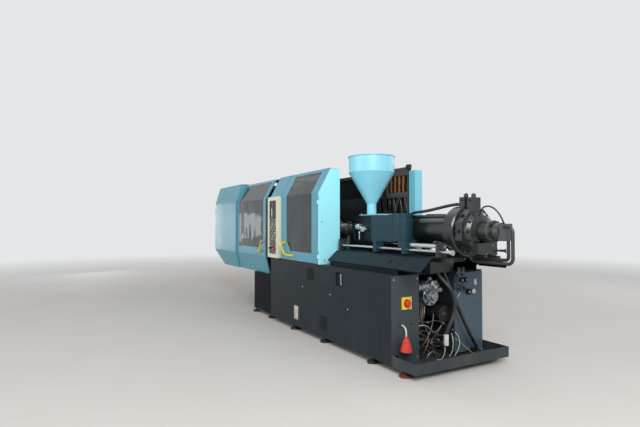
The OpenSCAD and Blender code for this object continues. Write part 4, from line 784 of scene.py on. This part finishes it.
baySettings = {
    "pumpAxis": (-0.040, 0.665), "flange": 2.160, "flangeRing": 0.0935, "flangeWire": 0.005,
    # centre, axis, ring radius, count, size, height and the turn of the first screw
    "screwRings": [((2.160, -0.040, 0.665), (1, 0, 0), 0.080, 8, 0.015, 0.013, 0.2),
                   ((2.118, -0.198, 0.761), (0, -1, 0), 0.043, 4, 0.011, 0.010, 0.6),
                   ((2.212, -0.060, 0.769), (1, 0, 0), 0.033, 4, 0.009, 0.008, 0.3),
                   ((2.225, 0.090, 0.480), (1, 0, 0), 0.070, 6, 0.011, 0.009)],
    # start, end, radius, end radius and sides: the cover, the bent outlet, then two side ports, with nuts
    "castings": [((2.205, -0.040, 0.665), (2.232, -0.040, 0.665), 0.046, 0.038, 28),
                 ((2.232, -0.040, 0.665), (2.244, -0.040, 0.665), 0.019, 0.019, 6),
                 ((2.212, -0.060, 0.769), (2.250, -0.060, 0.769), 0.0270, 0.0270, 24),
                 ((2.250, -0.060, 0.769), (2.246, -0.110, 0.815), 0.0230, 0.0250, 24),
                 ((2.246, -0.110, 0.815), (2.244, -0.122, 0.826), 0.0330, 0.0330, 6),
                 ((2.160, 0.010, 0.720), (2.236, 0.034, 0.734), 0.0280, 0.0240, 24),
                 ((2.236, 0.034, 0.734), (2.246, 0.037, 0.736), 0.0165, 0.0165, 6),
                 ((2.180, -0.110, 0.700), (2.232, -0.140, 0.655), 0.0240, 0.0200, 24),
                 ((2.232, -0.140, 0.655), (2.240, -0.145, 0.648), 0.0270, 0.0270, 6)],
    "elbow": (2.250, -0.060, 0.769), "elbowRadius": 0.0285,
    "bossStation": 2.175, "bossOut": 0.060, "bossAngles": (-60, -20, 20, 60, 100),
    "bossSteps": [(0.026, 0.0085, 0.0085, 12)],
    "filter": (2.225, 0.090, 0.480), "filterSteps": [(0.011, 0.030, 0.022, 24)],
    "sleeve": (2.398, -0.062, 0.222), "sleeveSteps": [(0.108, 0.0240, 0.0240, 28)],
    "crimps": 4, "firstCrimp": 0.012, "crimpPitch": 0.028, "crimpRing": 0.0240, "crimpWire": 0.0022,
    # a tube's look is its finish and its slot
    "tubes": {
        "controlPipes": {"look": ("pipeBrown", "pipe_brown"), "radius": 0.0058, "roundness": 3, "routes": [
            [(2.215, -0.240, 0.455), (2.225, -0.150, 0.420), (2.235, -0.060, 0.432), (2.240, 0.050, 0.395),
             (2.236, 0.120, 0.330), (2.228, 0.170, 0.250)],
            [(2.205, -0.262, 0.330), (2.228, -0.200, 0.300), (2.245, -0.120, 0.215), (2.250, -0.040, 0.175),
             (2.242, 0.060, 0.190), (2.222, 0.160, 0.160)],
            [(2.190, -0.250, 0.150), (2.236, -0.215, 0.205), (2.252, -0.150, 0.310), (2.246, -0.100, 0.400),
             (2.222, -0.060, 0.500)],
            [(2.230, -0.225, 0.075), (2.258, -0.205, 0.160), (2.256, -0.160, 0.260), (2.240, -0.175, 0.360),
             (2.212, -0.215, 0.430)],
            [(2.236, -0.060, 0.073), (2.262, -0.085, 0.150), (2.252, -0.120, 0.230), (2.246, -0.040, 0.300),
             (2.228, 0.040, 0.350)],
            [(2.240, 0.070, 0.073), (2.256, 0.040, 0.150), (2.250, -0.030, 0.240), (2.240, -0.140, 0.250),
             (2.214, -0.250, 0.255)],
        ]},
        "brightPipes": {"look": ("dull", "dull_steel"), "radius": 0.0065, "roundness": 3, "routes": [
            [(2.262, -0.190, 0.080), (2.272, -0.170, 0.120), (2.268, -0.120, 0.135), (2.262, -0.080, 0.110),
             (2.258, -0.055, 0.076)],
            [(2.222, -0.255, 0.395), (2.252, -0.205, 0.402), (2.262, -0.150, 0.365), (2.258, -0.100, 0.330),
             (2.236, -0.030, 0.322), (2.222, 0.050, 0.372)],
        ]},
        "bayWires": {"look": ("cordSheath", "cord_grey"), "radius": 0.0034, "roundness": 2, "routes": [
            [(2.390, -0.070, 0.214), (2.400, -0.090, 0.140), (2.380, -0.110, 0.090), (2.330, -0.130, 0.0735)],
            [(2.300, 0.110, 0.300), (2.340, 0.090, 0.210), (2.350, 0.060, 0.120), (2.330, 0.035, 0.0735)],
            [(2.262, 0.160, 0.330), (2.330, 0.185, 0.240), (2.352, 0.150, 0.150), (2.345, 0.100, 0.0735)],
        ]},
        "earthWire": {"look": ("wireYellow", "yellow_plastic"), "radius": 0.0030, "roundness": 2, "routes": [
            [(2.262, 0.150, 0.250), (2.315, 0.190, 0.215), (2.350, 0.255, 0.150), (2.372, 0.330, 0.090),
             (2.380, 0.375, 0.0725)],
        ]},
    },
    "unions": [(2.232, -0.150, 0.424), (2.240, 0.048, 0.396), (2.250, -0.130, 0.222), (2.244, 0.050, 0.190),
               (2.250, -0.150, 0.312), (2.255, -0.165, 0.255), (2.250, -0.115, 0.225), (2.252, -0.030, 0.240)],
    "unionLean": (0.2, 1.0, -0.3), "unionHalf": 0.011, "unionRadius": 0.0115,
    "glandFoot": 0.068, "glandSteps": [(0.006, 0.011, 0.011, 6), (0.014, 0.0075, 0.0055, 14)],
}


def buildPump(settings):
    y, z = settings["pumpAxis"]
    screws, cast, cap = bmesh.new(), bmesh.new(), bmesh.new()
    for ring in settings["screwRings"]:
        boltsInto(screws, *ring)
    finishPiece("pumpScrews", screws, "oiledBolt")

    for rod in settings["castings"]:
        rodInto(cast, *rod)
    ringInto(cast, (settings["flange"], y, z), (1, 0, 0), settings["flangeRing"], settings["flangeWire"])
    bmesh.ops.create_uvsphere(cast, u_segments=24, v_segments=16, radius=settings["elbowRadius"],
                              matrix=Matrix.Translation(settings["elbow"]))
    for degrees in settings["bossAngles"]:
        out = Matrix.Rotation(math.radians(degrees), 3, "X") @ Vector((0, 0, 1))
        foot = Vector((settings["bossStation"], y, z)) + out * settings["bossOut"]
        turnedInto(cast, foot, out, settings["bossSteps"])
    finishPiece("pumpCastings", cast, "castPump", rounding=0.0015)
    turnedInto(cap, settings["filter"], (1, 0, 0), settings["filterSteps"])
    finishPiece("filterCap", cap, "keyDark")


def buildBay(settings):
    sleeve, unions, glands = bmesh.new(), bmesh.new(), bmesh.new()
    x, y, low = settings["sleeve"]
    turnedInto(sleeve, (x, y, low), (0, 0, 1), settings["sleeveSteps"])
    for k in range(settings["crimps"]):
        height = low + settings["firstCrimp"] + k * settings["crimpPitch"]
        ringInto(sleeve, (x, y, height), (0, 0, 1), settings["crimpRing"], settings["crimpWire"], steps=28,
                 sides=8)
    finishPiece("hoseSleeve", sleeve, "cordSheath")

    for name, tube in settings["tubes"].items():
        runTubes(name, tube["routes"], tube["radius"], *tube["look"], tube["roundness"])
    lean = Vector(settings["unionLean"]).normalized() * settings["unionHalf"]
    for place in settings["unions"]:
        rodInto(unions, Vector(place) - lean, Vector(place) + lean, settings["unionRadius"], sides=6)
    finishPiece("pipeUnions", unions, "dull")
    for name in ("bayWires", "earthWire"):
        for route in settings["tubes"][name]["routes"]:
            x, y, z = route[-1]
            turnedInto(glands, (x, y, settings["glandFoot"]), (0, 0, 1), settings["glandSteps"])
    finishPiece("panGlands", glands, "keyDark")


buildPump(baySettings)
buildBay(baySettings)
print("pump bay dressed")


# tank end: valve coils, knobs, three round valves with a lever, a blank sight gauge, a bare plate and screws

tankSettings = {
    "face": 2.290,
    "coils": [(2.322, 0.192, 0.930), (2.322, 0.250, 0.930)],
    "coil": {"steps": [(0.026, 0.0195, 0.0195, 24), (0.008, 0.0110, 0.0110, 6)],
             "plugLow": (-0.012, -0.046, -0.036), "plugHigh": (0.012, -0.017, -0.008)},
    "knobs": [(0.196, 0.745), (0.258, 0.745)], "knobFoot": 0.044,
    "knobSteps": [(0.018, 0.0205, 0.0185, 12), (0.008, 0.0080, 0.0080, 16)],
    "valves": [(2.350, 0.192, 0.836, 0.025), (2.350, 0.254, 0.836, 0.025), (2.290, 0.357, 0.700, 0.032)],
    "valveDeep": 0.020, "valveWire": 0.004,
    "lever": ((2.298, 0.235, 0.703), (2.304, 0.190, 0.650)), "leverRadius": 0.0055,
    "gauge": (0.434, 0.700), "gaugeProud": 0.012, "gaugeRing": 0.023, "gaugeWire": 0.0035,
    "glassSteps": [(0.0015, 0.022, 0.022, 32)],
    "plateLow": (0, 0.452, 0.764), "plateHigh": (0.0016, 0.489, 0.823),
    "seamScrews": 7, "firstSeam": (0.003, 0.190, 0.570), "seamPitch": 0.059,
    "seamSteps": [(0.0045, 0.0050, 0.0050, 6)],
    "outlet": (0.002, 0.362, 0.112), "outletScrews": (0.044, 4, 0.011, 0.010, 0.78),
}


def buildTank(settings):
    face = Vector((settings["face"], 0, 0))
    coils, knobs, valves, hubs = bmesh.new(), bmesh.new(), bmesh.new(), bmesh.new()
    for place in settings["coils"]:
        coilInto(coils, coils, place, settings["coil"])
    finishPiece("tankCoils", coils, "driveBlack")
    for y, z in settings["knobs"]:
        turnedInto(knobs, face + Vector((settings["knobFoot"], y, z)), (1, 0, 0), settings["knobSteps"])
    finishPiece("tankKnobs", knobs, "keyDark", rounding=0.001)
    deep = settings["valveDeep"]
    for x, y, z, radius in settings["valves"]:
        turnedInto(valves, (x, y, z), (1, 0, 0), [(deep, radius, radius * 0.92, 24)])
        ringInto(valves, (x + deep, y, z), (1, 0, 0), radius * 0.8, settings["valveWire"], steps=32, sides=8)
        turnedInto(hubs, (x + 0.9 * deep, y, z), (1, 0, 0), [(deep / 2, radius * 0.36, radius * 0.36, 6)])
    rodInto(hubs, *settings["lever"], settings["leverRadius"], sides=12)
    finishPiece("tankValves", valves, "slopePaint")
    finishPiece("valveHubs", hubs, "latchSteel")

    rim, plates, screws = bmesh.new(), bmesh.new(), bmesh.new()
    gauge = face + Vector((settings["gaugeProud"], *settings["gauge"]))
    ringInto(rim, gauge, (1, 0, 0), settings["gaugeRing"], settings["gaugeWire"])
    finishPiece("gaugeRim", rim, "latchSteel")
    turnedInto(plates, gauge, (1, 0, 0), settings["glassSteps"])
    softBoxInto(plates, face + Vector(settings["plateLow"]), face + Vector(settings["plateHigh"]), 0.0006)
    finishPiece("tankPlates", plates, "barePlate")
    for k in range(settings["seamScrews"]):
        place = face + Vector(settings["firstSeam"]) + Vector((0, settings["seamPitch"] * k, 0))
        turnedInto(screws, place, (1, 0, 0), settings["seamSteps"])
    boltsInto(screws, face + Vector(settings["outlet"]), (1, 0, 0), *settings["outletScrews"])
    finishPiece("tankScrews", screws, "dull")


buildTank(tankSettings)
print("tank dressed")


# control rack: card handles and plugs, the slotted wiring duct, the header's slots and plug, looms and wires

rackSettings = {
    "cards": 12, "lastCard": (1.196, 0.4395, 1.817), "pitch": 0.040,
    # low and high corners, counted from the card's own low front corner
    "handles": [((0.002, -0.0045, 0.170), (0.015, 0.001, 0.186)),
                ((0.002, -0.0045, 0.008), (0.015, 0.001, 0.024))],
    "cardPlug": ((0.020, 0.004, 0.030), (0.036, 0.030, 0.090)), "longer": 0.024,
    "ductLow": (0.706, 0.4345, 1.741), "ductHigh": (1.250, 0.4400, 1.807),
    "slots": 26, "slotPitch": 0.0205, "slotWide": 0.012, "slotInset": (0.010, 0.006),
    "slotDepths": (0.4320, 0.4355),
    "headerSlots": 16, "headerSlot": (0.730, 0.4300, 2.084), "headerPitch": 0.030,
    "headerSize": (0.014, 0.002, 0.010),
    "plugLow": (1.232, 0.4300, 2.088), "plugHigh": (1.296, 0.4720, 2.150),
    "plugSteps": [(0.012, 0.022, 0.020, 24)], "leadSteps": [(0.016, 0.010, 0.010, 6)],
    "looms": 10, "firstLoom": 0.735, "loomPitch": 0.052, "loomRadius": 0.0085, "loomLean": 0.10,
    "loomFeet": (0.725, 1.235), "loomDepth": 0.452, "loomLayer": 0.010,
    "wires": (0.965, 1.085, 1.180), "wireRadius": 0.0045,
}


def buildCards(settings):
    handles, plugs = bmesh.new(), bmesh.new()
    for k in range(settings["cards"]):
        corner = Vector(settings["lastCard"]) - Vector((settings["pitch"] * k, 0, 0))
        for low, high in settings["handles"]:
            softBoxInto(handles, corner + Vector(low), corner + Vector(high), 0.001)
        # the plugs between the cards come in three lengths
        low, high = settings["cardPlug"]
        longer = Vector((0, 0, settings["longer"] * (k % 3)))
        softBoxInto(plugs, corner + Vector(low), corner + Vector(high) + longer, 0.0015)
    finishPiece("cardHandles", handles, "card")
    finishPiece("cardPlugs", plugs, "keyDark")


def buildRack(settings):
    duct, corner, slots = bmesh.new(), bmesh.new(), bmesh.new()
    x0, z0, top = settings["ductLow"][0], settings["ductLow"][2], settings["ductHigh"][2]
    side, lift = settings["slotInset"]
    softBoxInto(duct, settings["ductLow"], settings["ductHigh"], 0.0015)
    for k in range(settings["slots"]):
        x = x0 + side + k * settings["slotPitch"]
        sheetInto(duct, (x, z0 + lift), (x + settings["slotWide"], top - lift), settings["slotDepths"], 0.0008)
    finishPiece("wiringDuct", duct, "ductGrey")

    # round plug on the corner of the header, with the gland of its lead under it
    low, high = Vector(settings["plugLow"]), Vector(settings["plugHigh"])
    middle = (low + high) / 2
    softBoxInto(corner, low, high, 0.004)
    turnedInto(corner, (middle.x, low.y, middle.z), (0, -1, 0), settings["plugSteps"])
    turnedInto(corner, (middle.x, low.y + 0.020, low.z), (0, 0, -1), settings["leadSteps"])
    finishPiece("headerPlug", corner, "keyDark")
    for k in range(settings["headerSlots"]):
        slot = Vector(settings["headerSlot"]) + Vector((settings["headerPitch"] * k, 0, 0))
        softBoxInto(slots, slot, slot + Vector(settings["headerSize"]), 0.0006)
    finishPiece("headerSlots", slots, "keyDark")


def buildLooms(settings):
    # the looms hang from the duct to the deck and lean a little to either side, in three layers
    looms = []
    lowest, highest = settings["loomFeet"]
    for k in range(settings["looms"]):
        x = settings["firstLoom"] + settings["loomPitch"] * k
        foot = min(max(x + settings["loomLean"] * math.sin(1.7 * k + 0.5), lowest), highest)
        depth = settings["loomDepth"] + settings["loomLayer"] * (k % 3)
        looms.append([(x, depth, 1.742), (x + 0.01, depth - 0.006, 1.66), (x + (foot - x) * 0.4, depth, 1.50),
                      (x + (foot - x) * 0.9, depth + 0.004, 1.30), (foot, depth + 0.006, 1.05),
                      (foot, depth + 0.006, 0.920)])
    runTubes("rackLooms", looms, settings["loomRadius"], "rubber", "black_rubber")
    pale = [[(x, 0.446, 1.742), (x + 0.02, 0.442, 1.700), (x + 0.05, 0.446, 1.600), (x + 0.03, 0.452, 1.400),
             (x + 0.03, 0.456, 0.920)] for x in settings["wires"]]
    runTubes("rackWires", pale, settings["wireRadius"], "wireGrey", "cord_grey", roundness=2)


buildCards(rackSettings)
buildRack(rackSettings)
buildLooms(rackSettings)
print("rack dressed")


# studio: a pale floor that fades into the surround, one soft key lamp off the drive end, and weaker lamps

studioSettings = {
    "floorReach": 45.0, "floor": "#D8D6D1", "floorMarks": "#CCC9C2", "fade": (5.0, 16.0),
    "surround": (0.78, 0.79, 0.80, 1.0),
    "ambient": 0.36,
    # far and side stand past the clamp end and shine along the guards; front, back and top fill in
    "lamps": {
        "key": {"place": (8.5, -4.0, 5.4), "aim": (0.8, 0.0, 1.1), "size": (4.5, 3.5), "watts": 640.0},
        "front": {"place": (-1.0, -9.0, 3.2), "aim": (-0.4, 0.0, 1.0), "size": (7.0, 3.5), "watts": 150.0},
        "far": {"place": (-9.5, -2.45, 1.35), "aim": (-2.6, -0.6, 1.3), "size": (0.9, 1.5), "watts": 14.0},
        "side": {"place": (-9.5, -3.75, 1.30), "aim": (-2.0, -0.6, 1.3), "size": (0.7, 0.8), "watts": 2.2},
        "back": {"place": (1.0, 8.0, 4.5), "aim": (0.0, 0.0, 1.0), "size": (6.0, 3.0), "watts": 120.0},
        "top": {"place": (0.0, 0.5, 6.5), "aim": (0.0, 0.0, 0.0), "size": (7.0, 3.0), "watts": 30.0},
    },
}


def layFloor(settings):
    shape = bmesh.new()
    bmesh.ops.create_grid(shape, x_segments=2, y_segments=2, size=settings["floorReach"])
    mesh = bpy.data.meshes.new("studioFloor")
    shape.to_mesh(mesh)
    shape.free()
    floor = bpy.data.objects.new("studioFloor", mesh)
    bpy.context.scene.collection.objects.link(floor)
    made, tree, shader, coords = newMaterial("studioFloor", {"Roughness": 0.75})
    marks = cloud(tree, coords, 1.1, 0.35, 0.7)
    tone = overlay(tree, settings["floor"], settings["floorMarks"], marks, 0.25)
    tree.links.new(tone, shader.inputs["Base Color"])
    # far out the floor turns into the surround, so that no horizon line stands behind the machine
    distance = addNode(tree, "ShaderNodeVectorMath", {0: coords.outputs["Object"]}, operation="LENGTH")
    near, far = settings["fade"]
    faded = addNode(tree, "ShaderNodeMapRange", {"Value": distance.outputs["Value"], "From Min": near,
                                                 "From Max": far})
    glow = addNode(tree, "ShaderNodeEmission", {"Color": settings["surround"]})
    both = addNode(tree, "ShaderNodeMixShader", {0: faded.outputs[0], 1: shader.outputs[0],
                                                 2: glow.outputs[0]})
    target = next(node for node in tree.nodes if node.type == "OUTPUT_MATERIAL")
    tree.links.new(both.outputs[0], target.inputs["Surface"])
    mesh.materials.append(made)


def surroundMachine(settings):
    # what the camera, a gloss or a pane sees is the pale surround; what lights the machine is dimmer
    world = bpy.data.worlds.new("studioSurround")
    bpy.context.scene.world = world
    world.use_nodes = True
    tree = world.node_tree
    tree.nodes.clear()
    path = addNode(tree, "ShaderNodeLightPath")
    seen = path.outputs["Is Camera Ray"]
    for ray in ("Is Glossy Ray", "Is Transmission Ray"):
        either = addNode(tree, "ShaderNodeMath", {0: seen, 1: path.outputs[ray]}, operation="MAXIMUM")
        seen = either.outputs[0]
    plain = addNode(tree, "ShaderNodeBackground", {"Color": "#FFFFFF", "Strength": settings["ambient"]})
    pale = addNode(tree, "ShaderNodeBackground", {"Color": settings["surround"], "Strength": 1.0})
    both = addNode(tree, "ShaderNodeMixShader", {0: seen, 1: plain.outputs[0], 2: pale.outputs[0]})
    addNode(tree, "ShaderNodeOutputWorld", {"Surface": both.outputs[0]})


def hangLamps(settings):
    for name, lamp in settings["lamps"].items():
        data = bpy.data.lights.new(name, "AREA")
        data.shape = "RECTANGLE"
        data.size, data.size_y = lamp["size"]
        data.energy = lamp["watts"]
        lit = bpy.data.objects.new(name, data)
        aim = Vector(lamp["aim"]) - Vector(lamp["place"])
        turned = aim.to_track_quat("-Z", "Y").to_matrix().to_4x4()
        lit.matrix_world = Matrix.Translation(fromDatum(lamp["place"])) @ turned
        bpy.context.scene.collection.objects.link(lit)


layFloor(studioSettings)
surroundMachine(studioSettings)
hangLamps(studioSettings)
bpy.context.scene.view_settings.view_transform = "Standard"
print("studio built")
